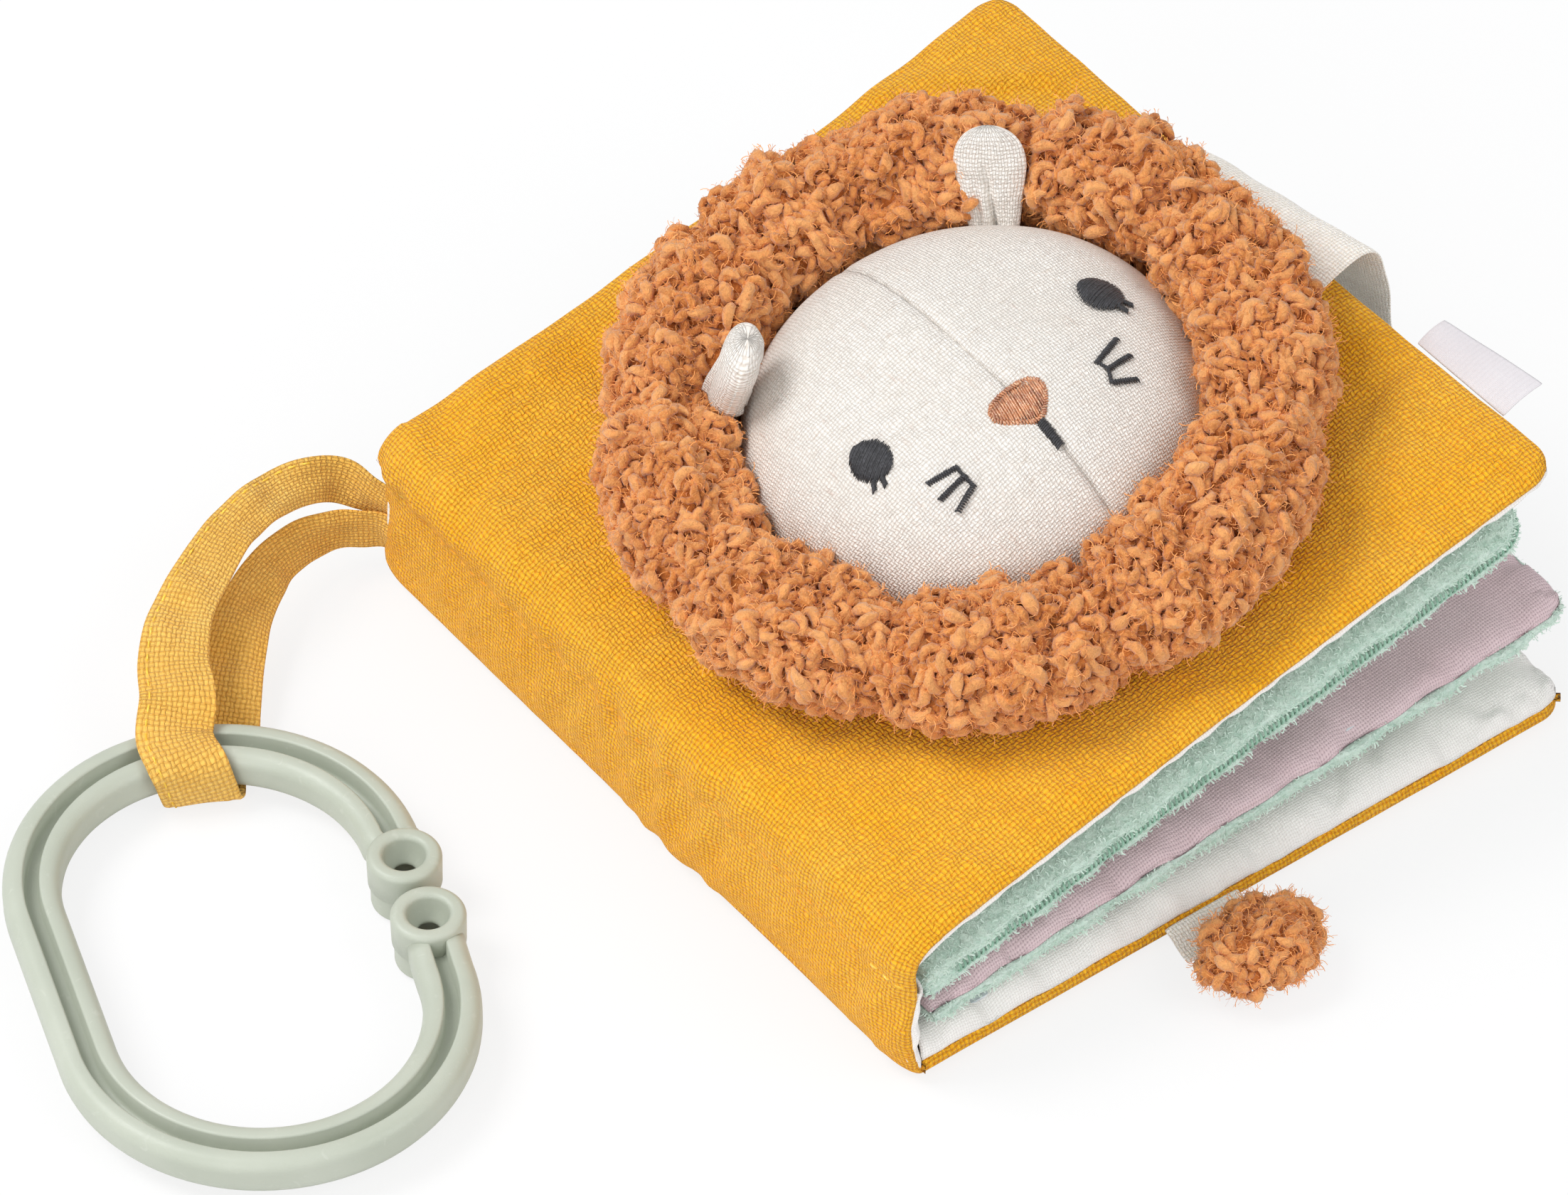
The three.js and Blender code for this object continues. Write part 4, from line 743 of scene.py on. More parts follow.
def finish_cad(node, material):
    """Gives a CAD piece that stays as it is its material."""
    node.data.materials.clear()
    node.data.materials.append(material)


for name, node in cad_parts.items():
    if name.endswith("_padding") or name == "face_stuffing":
        finish_cad(node, wadding)
    elif name.endswith("_crinkle_film"):
        finish_cad(node, film)

# Leaf 1
# Mint plush on both sides, sewn together round the edge over wadding and film.
# The pile rolls over on both sides of the seam, and a dark green overlock stitch shows in it.
leaf_half, leaf_root, leaf_inset = 3.2, 3.0, 1.5
mint, mint_deep, mint_light = srgb(214, 233, 220), srgb(184, 212, 196), srgb(230, 243, 234)


def plush_edge(seam_inset, bulge):
    """A rolled plush edge: from the seam's bottom, out to the widest part and up to the flat."""
    over = arc_points((5.0, bulge), (5.0, leaf_half - bulge), 0, 90, 10)
    return np.array([(seam_inset, 0.12), (seam_inset * 0.55, 0.35), (seam_inset * 0.2, 0.8)] + over)


def leaf_cloth(name, hinge, tilt, length, side, edge, pucker, seed, material, thickness=1.1):
    """One face of a leaf. Side is 1 for its upper face and -1 for its lower one."""
    bottom, top = leaf_inset, cover_height - leaf_inset
    flat_x, flat_y, depth, level, cut = panel_grid(-leaf_root, length, bottom, top, edge, 1.3)
    near_edge, along_edge = beside_seam(flat_x, flat_y, length, bottom, top)
    eased = rippled(seed, 8, along_edge, near_edge * 0.4)
    eased = eased + 0.5 * rippled(seed + 1, 4.5, along_edge, near_edge * 0.3)
    dip = np.minimum(pucker * np.exp(-np.maximum(near_edge - 1, 0) / 5.5) * eased - 0.25 * pucker, 0.08)
    level = np.maximum(level + dip * np.clip(depth / 4, 0, 1), 0.1)
    level = np.minimum(level, np.sqrt(np.maximum(leaf_half**2 - np.minimum(flat_x, 0) ** 2, 0)))
    x, y = rounded_corners(flat_x, flat_y, length, bottom, top)
    wander = 0.35 * rippled(seed + 2, 14, along_edge) * np.exp(-near_edge / 4)
    y = y + np.where(flat_y < cover_height / 2, wander, -wander)
    flat = np.stack([x, y, side * level], -1)
    inside = np.stack([x, y, side * np.maximum(level - thickness, 0.05)], -1)
    lean = np.array([[math.cos(tilt), 0, math.sin(tilt)], [0, 1, 0], [-math.sin(tilt), 0, math.cos(tilt)]])
    outer, inner = (points @ lean + np.array([hinge[0], 0, hinge[1]]) for points in (flat, inside))
    if side < 0:
        outer, inner, cut = outer[:, ::-1], inner[:, ::-1], [part[:, ::-1] for part in cut]
    made = cloth_piece(name, outer, inner, cut, material)
    return made


def plush_material(name, colour, deep, light, pile, relief):
    """Fine dense pile: small tufts that lie this way and that, darker where they part: painted shade in the
    partings.
    """
    material, tree, shader = new_material(name)
    place = book_place(tree)
    tufts = noise(tree, place, 1000 / pile, 4.0, Roughness=0.6, Distortion=0.6)
    hair = noise(tree, place, 4600 / pile, 3.0)
    cloud = noise(tree, place, 140 / pile, 2.0)
    # Where the tufts part, the deep colour is painted shade.
    tone = mixed(tree, spread(tree, tufts, 0.35, 0.62), deep, colour)
    tone = mixed(tree, spread(tree, hair, 0.5, 0.75, 0.0, 0.6), tone, light)
    tone = mixed(tree, spread(tree, cloud, 0.35, 0.7, 0.0, 0.35), tone, light)
    feed(tree, shader, Base_Color=tone)
    lift = calc(tree, "MULTIPLY_ADD", hair, 0.35, tufts)
    embossed(tree, shader, relief, lift)
    feed(tree, shader, Roughness=spread(tree, tufts, 0.3, 0.7, 1.0, 0.85), Specular_IOR_Level=0.15)
    feed(tree, shader, Sheen_Weight=0.35, Sheen_Roughness=0.45)
    return material


def chance(tree, kind, low, high, seed):
    """A number, whole number or direction drawn for each point between low and high."""
    first = {"FLOAT_VECTOR": 0, "FLOAT": 2, "INT": 4}[kind]
    drawn = add(tree, "FunctionNodeRandomValue", {"data_type": kind}, Seed=seed,
                **{f"n{first}": low, f"n{first + 1}": high})
    return drawn.outputs[first // 2]


def standing(tree, roots, one, low, high, small, large, seed, **more):
    """Sets copies of a shape on the roots, each turned between low and high and of a size of its own."""
    turn = add(tree, "FunctionNodeEulerToRotation", Euler=chance(tree, "FLOAT_VECTOR", low, high, seed))
    facing_out = add(tree, "FunctionNodeRotateRotation", {"rotation_space": "LOCAL"},
                     Rotation=roots.outputs["Rotation"], Rotate_By=turn)
    return add(tree, "GeometryNodeInstanceOnPoints", Points=roots.outputs["Points"], Instance=one,
               Rotation=facing_out, Scale=chance(tree, "FLOAT", small, large, seed), **more)


def fibre_tree():
    """Short fine fibres that grow from a surface, each a bent ribbon."""
    tree, keys, given, gives = new_group(
        "fine fibres", "GeometryNodeTree",
        {"Cloth": "Geometry", "Per square metre": "Float", "Length": "Float", "Width": "Float",
         "Lean": "Float", "Seed": "Int", "Finish": "Material"},
        {"Fibres": "Geometry"},
    )
    pile = add(tree, "GeometryNodeInputNamedAttribute", {"data_type": "FLOAT"}, Name="pile")
    roots = add(tree, "GeometryNodeDistributePointsOnFaces", {"distribute_method": "RANDOM"},
                Mesh=given["Cloth"], Seed=given["Seed"])
    feed(tree, roots, Density=calc(tree, "MULTIPLY", given["Per square metre"], pile))
    bend = add(tree, "GeometryNodeCurveQuadraticBezier", Resolution=2, Start=(0, 0, 0), Middle=(0, 0, 0.6),
               End=(0.55, 0, 0.9))
    flat = add(tree, "GeometryNodeCurvePrimitiveLine", Start=(0, -0.5, 0), End=(0, 0.5, 0))
    size = add(tree, "ShaderNodeCombineXYZ", **{way: given["Length"] for way in "XYZ"})
    long = add(tree, "GeometryNodeTransform", Geometry=bend, Scale=size)
    wide = add(tree, "ShaderNodeCombineXYZ", X=1.0, Y=given["Width"], Z=1.0)
    band = add(tree, "GeometryNodeTransform", Geometry=flat, Scale=wide)
    ribbon = add(tree, "GeometryNodeCurveToMesh", Curve=long, Profile_Curve=band)
    leans = [calc_3d(tree, "SCALE", n0=(way, way, 0), Scale=given["Lean"]) for way in (-1, 1)]
    low, high = (calc_3d(tree, "ADD", n0=lean, n1=(0, 0, turn)) for lean, turn in zip(leans, (-3.14, 3.14)))
    spread_out = standing(tree, roots, ribbon, low, high, 0.55, 1.25, given["Seed"])
    whole = add(tree, "GeometryNodeRealizeInstances", Geometry=spread_out)
    feed(tree, gives, n0=add(tree, "GeometryNodeSetMaterial", Geometry=whole, Material=given["Finish"]))
    return tree, keys


fine_fibres, fibre_keys = fibre_tree()


def grown(base, tree, keys, name, **values):
    """What a tree of nodes makes on a piece, as a plain mesh piece of its own."""
    modifier = base.modifiers.new("grown", "NODES")
    modifier.node_group = tree
    for key, value in values.items():
        modifier[keys[key.replace("_", " ")]] = value
    bpy.context.view_layer.update()
    shapes = bpy.context.evaluated_depsgraph_get()
    mesh = bpy.data.meshes.new_from_object(
        base.evaluated_get(shapes), preserve_all_data_layers=True, depsgraph=shapes
    )
    base.modifiers.remove(modifier)
    mesh.name = name
    made = bpy.data.objects.new(name, mesh)
    bpy.context.collection.objects.link(made)
    return made


def pile_share(piece, rule):
    """How thickly fibres grow at each point, from 0 to 1, from its place in millimetres on the book."""
    places, outward = np.zeros((2, len(piece.data.vertices) * 3))
    piece.data.vertices.foreach_get("co", places)
    piece.data.vertices.foreach_get("normal", outward)
    share = rule(places.reshape(-1, 3) * 1000 + book_corner, outward.reshape(-1, 3))
    attribute = piece.data.attributes.new("pile", "FLOAT", "POINT")
    attribute.data.foreach_set("value", np.clip(share, 0, 1).astype(np.float32))


mint_plush = plush_material("mint_plush", mint, mint_deep, mint_light, 2.0, 0.9)
mint_fibre = plush_material("mint_fibre", srgb(220, 238, 226), mint, mint_light, 6.0, 0.05)
leaf_1 = ((8.7, 19.2), math.radians(13.6), 126.5)
leaf_1_front = leaf_cloth("leaf_1_upper_plush", *leaf_1, 1, plush_edge(2.0, 1.9), 0.35, 51, mint_plush)
leaf_1_back = leaf_cloth("leaf_1_lower_plush", *leaf_1, -1, plush_edge(2.0, 1.9), 0.35, 54, mint_plush)


def leaf_rim(places, outward):
    """Where a leaf's pile can be seen from outside: near its sides and its fore edge."""
    from_side = np.minimum(places[:, 1] - leaf_inset, cover_height - leaf_inset - places[:, 1])
    return np.clip(1.2 - from_side / 9, 0, 1) + np.clip((places[:, 0] - 120) / 10, 0, 1)


overlock_thread = thread_material(
    "overlock_thread", srgb(158, 198, 176), srgb(128, 168, 146), srgb(184, 216, 198), 0.6
)


def overlock(name, hinge, tilt, length):
    """Close slanting stitches over the seam between a leaf's two faces, along its three free edges."""
    inset, bend = 0.5, cover_corner
    bottom, right = leaf_inset + inset, length - inset
    top = cover_height - bottom
    turn = np.radians(np.linspace(-90, 0, 9))
    corner = np.stack([right - bend + bend * np.cos(turn), bottom + bend + bend * np.sin(turn)], -1)
    far_corner = (corner * (1, -1) + (0, cover_height))[::-1]
    line = np.concatenate([[(4.0, bottom)], corner, far_corner, [(4.0, top)]])
    run = run_lengths(line)
    at = np.arange(0, run[-1], 0.95)
    middle = np.stack([np.interp(at, run, line[:, i]) for i in range(2)], -1)
    share = np.linspace(-1, 1, 5)
    made = []
    for place, heading in zip(middle, unit(np.gradient(middle, axis=0))):
        out = np.array([heading[1], -heading[0], 0])
        flat = np.array([*place, 0]) + share[:, None] * (0.35 * heading[0], 0.35 * heading[1], 0.95)
        flat = flat + (0.2 + 0.85 * (1 - share**2))[:, None] * out
        x, level = flat[:, 0].copy(), flat[:, 2].copy()
        flat[:, 0] = hinge[0] + x * math.cos(tilt) - level * math.sin(tilt)
        flat[:, 2] = hinge[1] + x * math.sin(tilt) + level * math.cos(tilt)
        made.append(strand(flat, out, 0.5, 0.45, 5))
    return strands_piece(name, made, overlock_thread)


def plush_face(piece, body, node, seed, hairs, width):
    """Grows the pile along the edges of a leaf's plush face."""
    pile_share(piece, leaf_rim)
    pile = grown(piece, fine_fibres, fibre_keys, piece.name + "_pile", Per_square_metre=hairs, Length=0.00085,
                 Width=width, Lean=0.8, Seed=seed, Finish=mint_fibre)
    belongs(piece, body, "mint_plush", node)
    belongs(pile, body, "mint_plush")


belongs(overlock("leaf_1_overlock", *leaf_1), "leaf_1", "mint_plush")
plush_face(leaf_1_front, "leaf_1", "leaf_1_front_plush", 1, 4.2e6, 0.00018)
plush_face(leaf_1_back, "leaf_1", "leaf_1_back_plush", 2, 2.8e6, 0.00018)

# Leaf 2
# Mauve cotton sateen on its upper side, eased in small puckers, and mint plush on its lower side.
mauve_cotton = woven_cloth(
    "mauve_cotton", srgb(226, 200, 204), srgb(172, 146, 152), srgb(238, 218, 221),
    (0.5, 0.62), 0.06, 0.12, 0.7, 0.2,
)
leaf_2 = ((10.5, 11.9), math.radians(5.2), 133.5)
cotton_edge = np.array([(1.3, 0.15), (0.9, 0.6)] + arc_points((5.5, 1.0), (4.8, 2.2), 0, 90, 11))
leaf_2_front = leaf_cloth("leaf_2_mauve_cotton", *leaf_2, 1, cotton_edge, 1.05, 61, mauve_cotton)
leaf_2_back = leaf_cloth("leaf_2_lower_plush", *leaf_2, -1, plush_edge(1.4, 1.7), 0.35, 64, mint_plush)
plush_face(leaf_2_back, "leaf_2", "leaf_2_back_plush", 3, 3.0e6, 0.00019)
belongs(leaf_2_front, "leaf_2", "mauve_cotton", "leaf_2_front_cotton")

# Mane
# A stuffed ring of caramel sherpa plush, drawn in by nine stitched tucks.
# Its pile is curled in soft lobes that lean over the rim of the face.
head_at, head_raise = (75.0, 71.7), 10.0
mane_radius, mane_half_height = 51.0, 10.7
tuck_turns = np.radians([3, 38, 76, 98, 137, 176, 216, 256, 310])
caramel, caramel_deep, caramel_light = srgb(234, 152, 80), srgb(176, 98, 42), srgb(248, 184, 120)


def on_head(x, y, z):
    """Points of the head: from the middle of the face, and out from the cover's cloth."""
    return on_cover(np.asarray(x) + head_at[0], np.asarray(y) + head_at[1], np.asarray(z) + head_raise)


turns = np.radians(np.linspace(0, 360, 240, endpoint=False))
rounds = np.radians(np.linspace(0, 360, 40, endpoint=False))
away = np.angle(np.exp(1j * (turns[:, None] - tuck_turns[None, :]))) / math.radians(6)
tuck = np.exp(-(away**2)).sum(1)[:, None]
turn_grid, round_grid = np.meshgrid(turns, rounds, indexing="ij")
on_tube = (mane_radius * turn_grid, 12 * np.cos(round_grid), 12 * np.sin(round_grid))
lumpy = 1.9 * rippled(71, 7, *on_tube) + 0.8 * rippled(72, 4, *on_tube)
upper = np.clip(np.sin(round_grid) + 0.4, 0, 1)
outermost = 62.2 - 1.2 * np.cos(turn_grid) - 1.2 * np.cos(2 * turn_grid)
lowest_way = np.cos(turn_grid - math.radians(232))
half_width = (outermost - 38.6) / 2 - 1.2 - 2.9 * tuck + lumpy * upper
half_height = mane_half_height - 1.4 - 1.5 * lowest_way - 2.6 * tuck * upper + lumpy * upper
reach = (outermost + 38.6) / 2 + half_width * np.cos(round_grid)
raise_by = mane_half_height - 0.4 - 1.5 * lowest_way + half_height * np.sin(round_grid)
ring = on_head(reach * np.cos(turn_grid), reach * np.sin(turn_grid), raise_by)
at = np.arange(turn_grid.size).reshape(turn_grid.shape)
next_turn = np.roll(at, -1, 0)
faces = np.stack([at, next_turn, np.roll(next_turn, -1, 1), np.roll(at, -1, 1)], -1).reshape(-1, 4).tolist()


sherpa = plush_material("caramel_sherpa", caramel, caramel_deep, caramel_light, 1.6, 0.7)
tree = sherpa.node_tree
shader = tree.nodes["Principled BSDF"]
shade = add(tree, "ShaderNodeAttribute", {"attribute_name": "shade"}).outputs["Fac"]
tone = shader.inputs["Base Color"].links[0].from_socket
tone = mixed(tree, spread(tree, shade, 0, 0.5, 0.5, 0.0), tone, caramel_deep)
tone = mixed(tree, spread(tree, shade, 0.6, 1, 0.0, 0.5), tone, caramel_light)
feed(tree, shader, Base_Color=tone)
# The ground under the locks is a darker caramel: painted shade for the crevices between the curls.
sherpa_ground_painted_shade = plush_material(
    "caramel_sherpa_ground", srgb(198, 114, 52), srgb(156, 82, 32), caramel, 2.4, 0.8
)
sherpa_fibre = plush_material("caramel_fibre", srgb(244, 166, 94), caramel, srgb(255, 200, 142), 6.0, 0.05)
mane = piece_from("mane_ground", ring.reshape(-1, 3), faces, None, sherpa_ground_painted_shade)
pile_share(mane, lambda places, outward: np.clip((outward @ cover_out + 0.75) / 0.3, 0, 1))


def curl_tree():
    """Curled lobes of pile on a surface: bent tufts, thick in the middle, at uneven turns and sizes."""
    tree, keys, given, gives = new_group(
        "sherpa curls", "GeometryNodeTree",
        {"Cloth": "Geometry", "Spacing": "Float", "Curl radius": "Float", "Yarn radius": "Float",
         "Seed": "Int", "Finish": "Material"},
        {"Curls": "Geometry"},
    )
    pile = add(tree, "GeometryNodeInputNamedAttribute", {"data_type": "FLOAT"}, Name="pile")
    roots = add(tree, "GeometryNodeDistributePointsOnFaces", {"distribute_method": "POISSON"},
                Mesh=given["Cloth"], Density_Max=2.0e6, Seed=given["Seed"])
    feed(tree, roots, Distance_Min=given["Spacing"], Density_Factor=pile)
    gathered = tree.nodes.new("GeometryNodeJoinGeometry")
    for sweep, stand, thick in ((3.2, 0.75, 1.0), (2.2, 0.4, 1.15), (2.8, 0.15, 0.9)):
        arc = add(tree, "GeometryNodeCurveArc", {"mode": "RADIUS"}, Resolution=6, Sweep_Angle=sweep)
        feed(tree, arc, Radius=given["Curl radius"])
        share = add(tree, "GeometryNodeSplineParameter").outputs["Factor"]
        swell = calc(tree, "SINE", calc(tree, "MULTIPLY", share, math.pi))
        swell = calc(tree, "MULTIPLY_ADD", swell, 0.75 * thick, 0.3 * thick)
        round_off = add(tree, "GeometryNodeCurvePrimitiveCircle", Resolution=5, Radius=1.0)
        tube = add(tree, "GeometryNodeCurveToMesh", Curve=arc, Profile_Curve=round_off, Fill_Caps=True,
                   Scale=calc(tree, "MULTIPLY", swell, given["Yarn radius"]))
        upright = add(tree, "GeometryNodeTransform", Geometry=tube, Rotation=(stand, 0, 0))
        feed(tree, gathered, n0=add(tree, "GeometryNodeGeometryToInstance", Geometry=upright))
    which = chance(tree, "INT", 0, 2, given["Seed"])
    spread_out = standing(tree, roots, gathered, (-0.5, -0.5, -3.14), (0.5, 0.5, 3.14), 0.7, 1.3,
                          given["Seed"], Pick_Instance=True, Instance_Index=which)
    toned = add(tree, "GeometryNodeStoreNamedAttribute", {"data_type": "FLOAT", "domain": "INSTANCE"},
                Geometry=spread_out, Name="shade", Value=chance(tree, "FLOAT", 0.0, 1.0, given["Seed"]))
    whole = add(tree, "GeometryNodeRealizeInstances", Geometry=toned)
    smooth = add(tree, "GeometryNodeSetShadeSmooth", Geometry=whole)
    feed(tree, gives, n0=add(tree, "GeometryNodeSetMaterial", Geometry=smooth, Material=given["Finish"]))
    return tree, keys


sherpa_curls, curl_keys = curl_tree()


def sherpa_coat(ground, body, names, seeds, spacing, curl, yarn, hairs, width):
    """Curled locks all over a stuffed piece, with loose hairs on them."""
    locks = grown(ground, sherpa_curls, curl_keys, names[0], Spacing=spacing, Curl_radius=curl,
                  Yarn_radius=yarn, Seed=seeds[0], Finish=sherpa)
    pile_share(locks, lambda places, outward: np.ones(len(places)))
    fuzz = grown(locks, fine_fibres, fibre_keys, names[1], Per_square_metre=hairs, Length=0.0015,
                 Width=width, Lean=0.9, Seed=seeds[1], Finish=sherpa_fibre)
    for made in (locks, fuzz):
        belongs(made, body, "caramel_plush")


for layer, seed in (("lower", 7), ("upper", 8)):
    sherpa_coat(mane, "front", ("mane_locks_" + layer, "mane_fuzz_" + layer), (seed, seed),
                0.00165, 0.0017, 0.00086, 0.5e6, 0.00012)
belongs(mane, "front", "caramel_plush", "mane")
# The backing takes the same darker caramel, painted shade.
finish_cad(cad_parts["mane_backing"], sherpa_ground_painted_shade)

# Face
# Two halves of flecked linen over a stuffed dome, joined by a seam down the middle.
# The linen is plain woven from natural and bleached yarn, with darker flecks and slubs.
face_radius, face_crown, face_rim, face_shell, face_seam = 40.2, 24.0, 1.2, 1.3, 1.9


def dome(x, y):
    """How far the stuffed face stands out from the mane's backing."""
    share = np.minimum(np.hypot(x, y) / face_radius, 1)
    return face_rim + face_crown * (1 - share**2.7) ** 0.476


def flecked_linen(name, colour, deep, light):
    """Plain woven linen with slubs and darker flecks that run along the yarns, both ways."""
    material = woven_cloth(name, colour, deep, light, (0.64, 0.64), 0.16, 0.3, 0.75, 0.5)
    tree = material.node_tree
    shader = tree.nodes["Principled BSDF"]
    tone = shader.inputs["Base Color"].links[0].from_socket
    cut_place = add(tree, "ShaderNodeUVMap", {"uv_map": "cut"}).outputs["UV"]
    for stretch, fleck in (((0.25, 1.6, 1), srgb(180, 152, 122)), ((1.6, 0.25, 1), srgb(190, 142, 118))):
        drawn_out = add(tree, "ShaderNodeMapping", Vector=cut_place, Scale=stretch)
        spots = noise(tree, drawn_out, 0.8, 3.0)
        tone = mixed(tree, spread(tree, spots, 0.62, 0.8, 0.0, 0.4), tone, fleck)
    feed(tree, shader, Base_Color=tone)
    return material


face_linen = flecked_linen("face_linen", srgb(250, 244, 236), srgb(222, 211, 198), srgb(255, 252, 248))


def face_half(name, side):
    """Half of the dome, from the middle seam round to the rim, with its edge turned in at the seam."""
    shares = np.sin(np.linspace(0, 1, 34) * math.pi / 2)
    outs = np.concatenate([shares, [0.985, 0.94]])
    angles = np.linspace(-math.pi / 2, math.pi / 2, 61)
    out_grid, angle_grid = np.meshgrid(outs, angles)
    side_way, up_way = side * np.cos(angle_grid), np.sin(angle_grid)
    to_rim = np.sqrt(face_radius**2 - (face_seam * up_way) ** 2) - face_seam * side_way
    x, y = face_seam + out_grid * to_rim * side_way, out_grid * to_rim * up_way
    z = dome(x, y)
    z[:, -2], z[:, -1] = face_rim * 0.5, 0.05
    from_seam = np.abs(x - face_seam)
    seam = np.exp(-((from_seam / 0.7) ** 2))
    nip = 0.5 + 0.5 * rippled(81, 5, y)
    bulge = 0.12 * np.exp(-(((from_seam - 2.0) / 1.6) ** 2))
    soft = 0.5 * rippled(82, 30, x, y) * (1 - out_grid**4)
    z = z - seam * (0.2 + 0.25 * nip) + bulge * 0.5 + soft * np.clip(from_seam / 3, 0, 1)
    x = x + side * 0.08
    outer = on_head(x, y, z)
    inward = -unit(np.stack([x, y, z * 2.2], -1))
    push = inward[..., 0:1] * cover_along + inward[..., 1:2] * np.array([0, 1.0, 0])
    inner = outer + (push + inward[..., 2:3] * cover_out) * face_shell
    inner[:, -1] = on_head(x[:, -1] * 0.97, y[:, -1] * 0.97, z[:, -1] + 0.02)
    flat_outs = outs * face_radius
    arc = np.concatenate([[0], np.cumsum(np.hypot(np.diff(flat_outs), np.diff(dome(flat_outs, 0 * outs))))])
    cut = (side * arc * np.cos(angle_grid) + side * 60, arc * np.sin(angle_grid))
    made = cloth_piece(name, outer[::side], inner[::side], [part[::side] for part in cut], face_linen)
    return made


for which, side in (("left", -1), ("right", 1)):
    belongs(face_half(f"face_{which}_half", side), "front", "linen", f"face_{which}_panel")

# Embroidery
# Eyes, mouth and whiskers are worked in black thread and the nose in copper satin stitch.
# Each stitch is one strand laid over the linen, and the strands lie close beside each other.
def laid(x0, y0, x1, y1, lift, width, height, count=7):
    """A strand from one face point to another, arched over the linen."""
    share = np.linspace(0, 1, count)
    x, y = x0 + (x1 - x0) * share, y0 + (y1 - y0) * share
    arch = lift * np.sqrt(np.maximum(np.sin(math.pi * share), 0.02))
    from_middle = x * x + y * y
    slope = (face_crown / face_radius) ** 2 * from_middle / np.maximum(face_radius**2 - from_middle, 40)
    steep = np.sqrt(1 + slope)
    return strand(on_head(x, y, dome(x, y) + (arch - 0.05) * steep), cover_out, width, height)


black_thread = thread_material("black_thread", srgb(38, 38, 42), srgb(22, 22, 26), srgb(74, 74, 80), 0.5)
# The pale copper on the raised plies is a painted highlight, the thread's metallic glint.
copper_thread = thread_material(
    "copper_thread", srgb(206, 134, 84), srgb(150, 84, 46), srgb(255, 220, 180), 0.2
)
copper_thread.node_tree.nodes["Principled BSDF"].inputs["Specular IOR Level"].default_value = 1.0


def sewn(name, node, strands, thread=black_thread, slot="black_thread"):
    """One motif of the face, all its strands in one thread."""
    belongs(strands_piece(name, strands, thread), "front", slot, node)


def satin(outline, angle, pitch, lift, width, height, seed):
    """Satin stitch: strands side by side across an outline, their ends a little uneven."""
    rng = np.random.default_rng(seed)
    outline = np.asarray(outline, float)
    c, s = math.cos(angle), math.sin(angle)
    along, across = outline @ np.array([c, s]), outline @ np.array([-s, c])
    made = []
    for at in np.arange(across.min() + pitch / 2, across.max(), pitch):
        crossings = []
        for i in range(len(outline)):
            a0, a1, b0, b1 = across[i - 1], across[i], along[i - 1], along[i]
            if (a0 - at) * (a1 - at) < 0:
                crossings.append(b0 + (b1 - b0) * (at - a0) / (a1 - a0))
        crossings.sort()
        for low, high in zip(crossings[::2], crossings[1::2]):
            low, high = low - rng.uniform(-0.08, 0.28), high + rng.uniform(-0.08, 0.28)
            wobble = rng.uniform(-0.08, 0.08, 2)
            x0, y0 = low * c - (at + wobble[0]) * s, low * s + (at + wobble[0]) * c
            x1, y1 = high * c - (at + wobble[1]) * s, high * s + (at + wobble[1]) * c
            made.append(laid(x0, y0, x1, y1, lift * rng.uniform(0.85, 1.1), width, height))
    return made


def oval(x, y, across, up_down):
    """The outline of an eye."""
    turn = np.linspace(0, 2 * math.pi, 28, endpoint=False)
    return np.stack([x + across * np.cos(turn), y + up_down * np.sin(turn)], -1)


def line_of_stitches(x0, y0, x1, y1, width, pitch, seed):
    """A line built from short strands laid across it."""
    rng = np.random.default_rng(seed)
    length = math.hypot(x1 - x0, y1 - y0)
    ax, ay = (x1 - x0) / length, (y1 - y0) / length
    made = []
    for at in np.arange(0, length + pitch / 2, pitch):
        w, slant = width / 2 * rng.uniform(0.85, 1.15), 0.25
        cx, cy = x0 + ax * at, y0 + ay * at
        px, py = ay * w + ax * slant, ay * slant - ax * w
        made.append(laid(cx - px, cy - py, cx + px, cy + py, 0.55, 0.42, 0.42, count=5))
    return made


eye_work = {
    "eye_left": (oval(-22.6, -5.6, 3.5, 4.0), [(-24.7, -8.6, -25.6, -9.9), (-23.3, -9.3, -23.8, -10.8)]),
    "eye_right": (oval(26.5, -5.0, 3.5, 4.0), [(28.6, -8.0, 29.5, -9.3), (27.3, -8.8, 27.8, -10.3)]),
}
for seed, (node, (outline, lashes)) in enumerate(eye_work.items()):
    strands = satin(outline, math.radians(22), 0.3, 0.62, 0.46, 0.5, 90 + seed)
    for lash in lashes:
        strands += line_of_stitches(*lash, 0.9, 0.3, 95 + seed)
    sewn(node + "_stitches", node, strands)
nose_x, nose_y = 1.4, -16.0
nose_outline = np.array([
    (0.6, -3.9), (1.8, -3.4), (3.3, -2.1), (4.5, -0.6), (5.1, 0.8), (5.0, 2.0), (4.0, 3.1), (2.2, 3.6),
    (0.3, 3.7), (-1.8, 3.6), (-3.8, 3.1), (-4.9, 2.0), (-5.1, 0.6), (-4.3, -0.8), (-2.7, -2.2), (-0.8, -3.5),
]) + (nose_x, nose_y)
strands = satin(nose_outline, math.radians(78), 0.42, 0.85, 0.46, 0.6, 101)
edge_points = np.concatenate([nose_outline, nose_outline[:1]])
for (x0, y0), (x1, y1) in zip(edge_points[:-1], edge_points[1:]):
    strands += line_of_stitches(x0, y0, x1, y1, 1.0, 0.5, 102)
sewn("nose_satin_stitch", "nose", strands, copper_thread, "copper_thread")
sewn("mouth_stitches", "mouth_stitch", line_of_stitches(1.8, -20.4, 1.5, -25.3, 1.9, 0.36, 111))
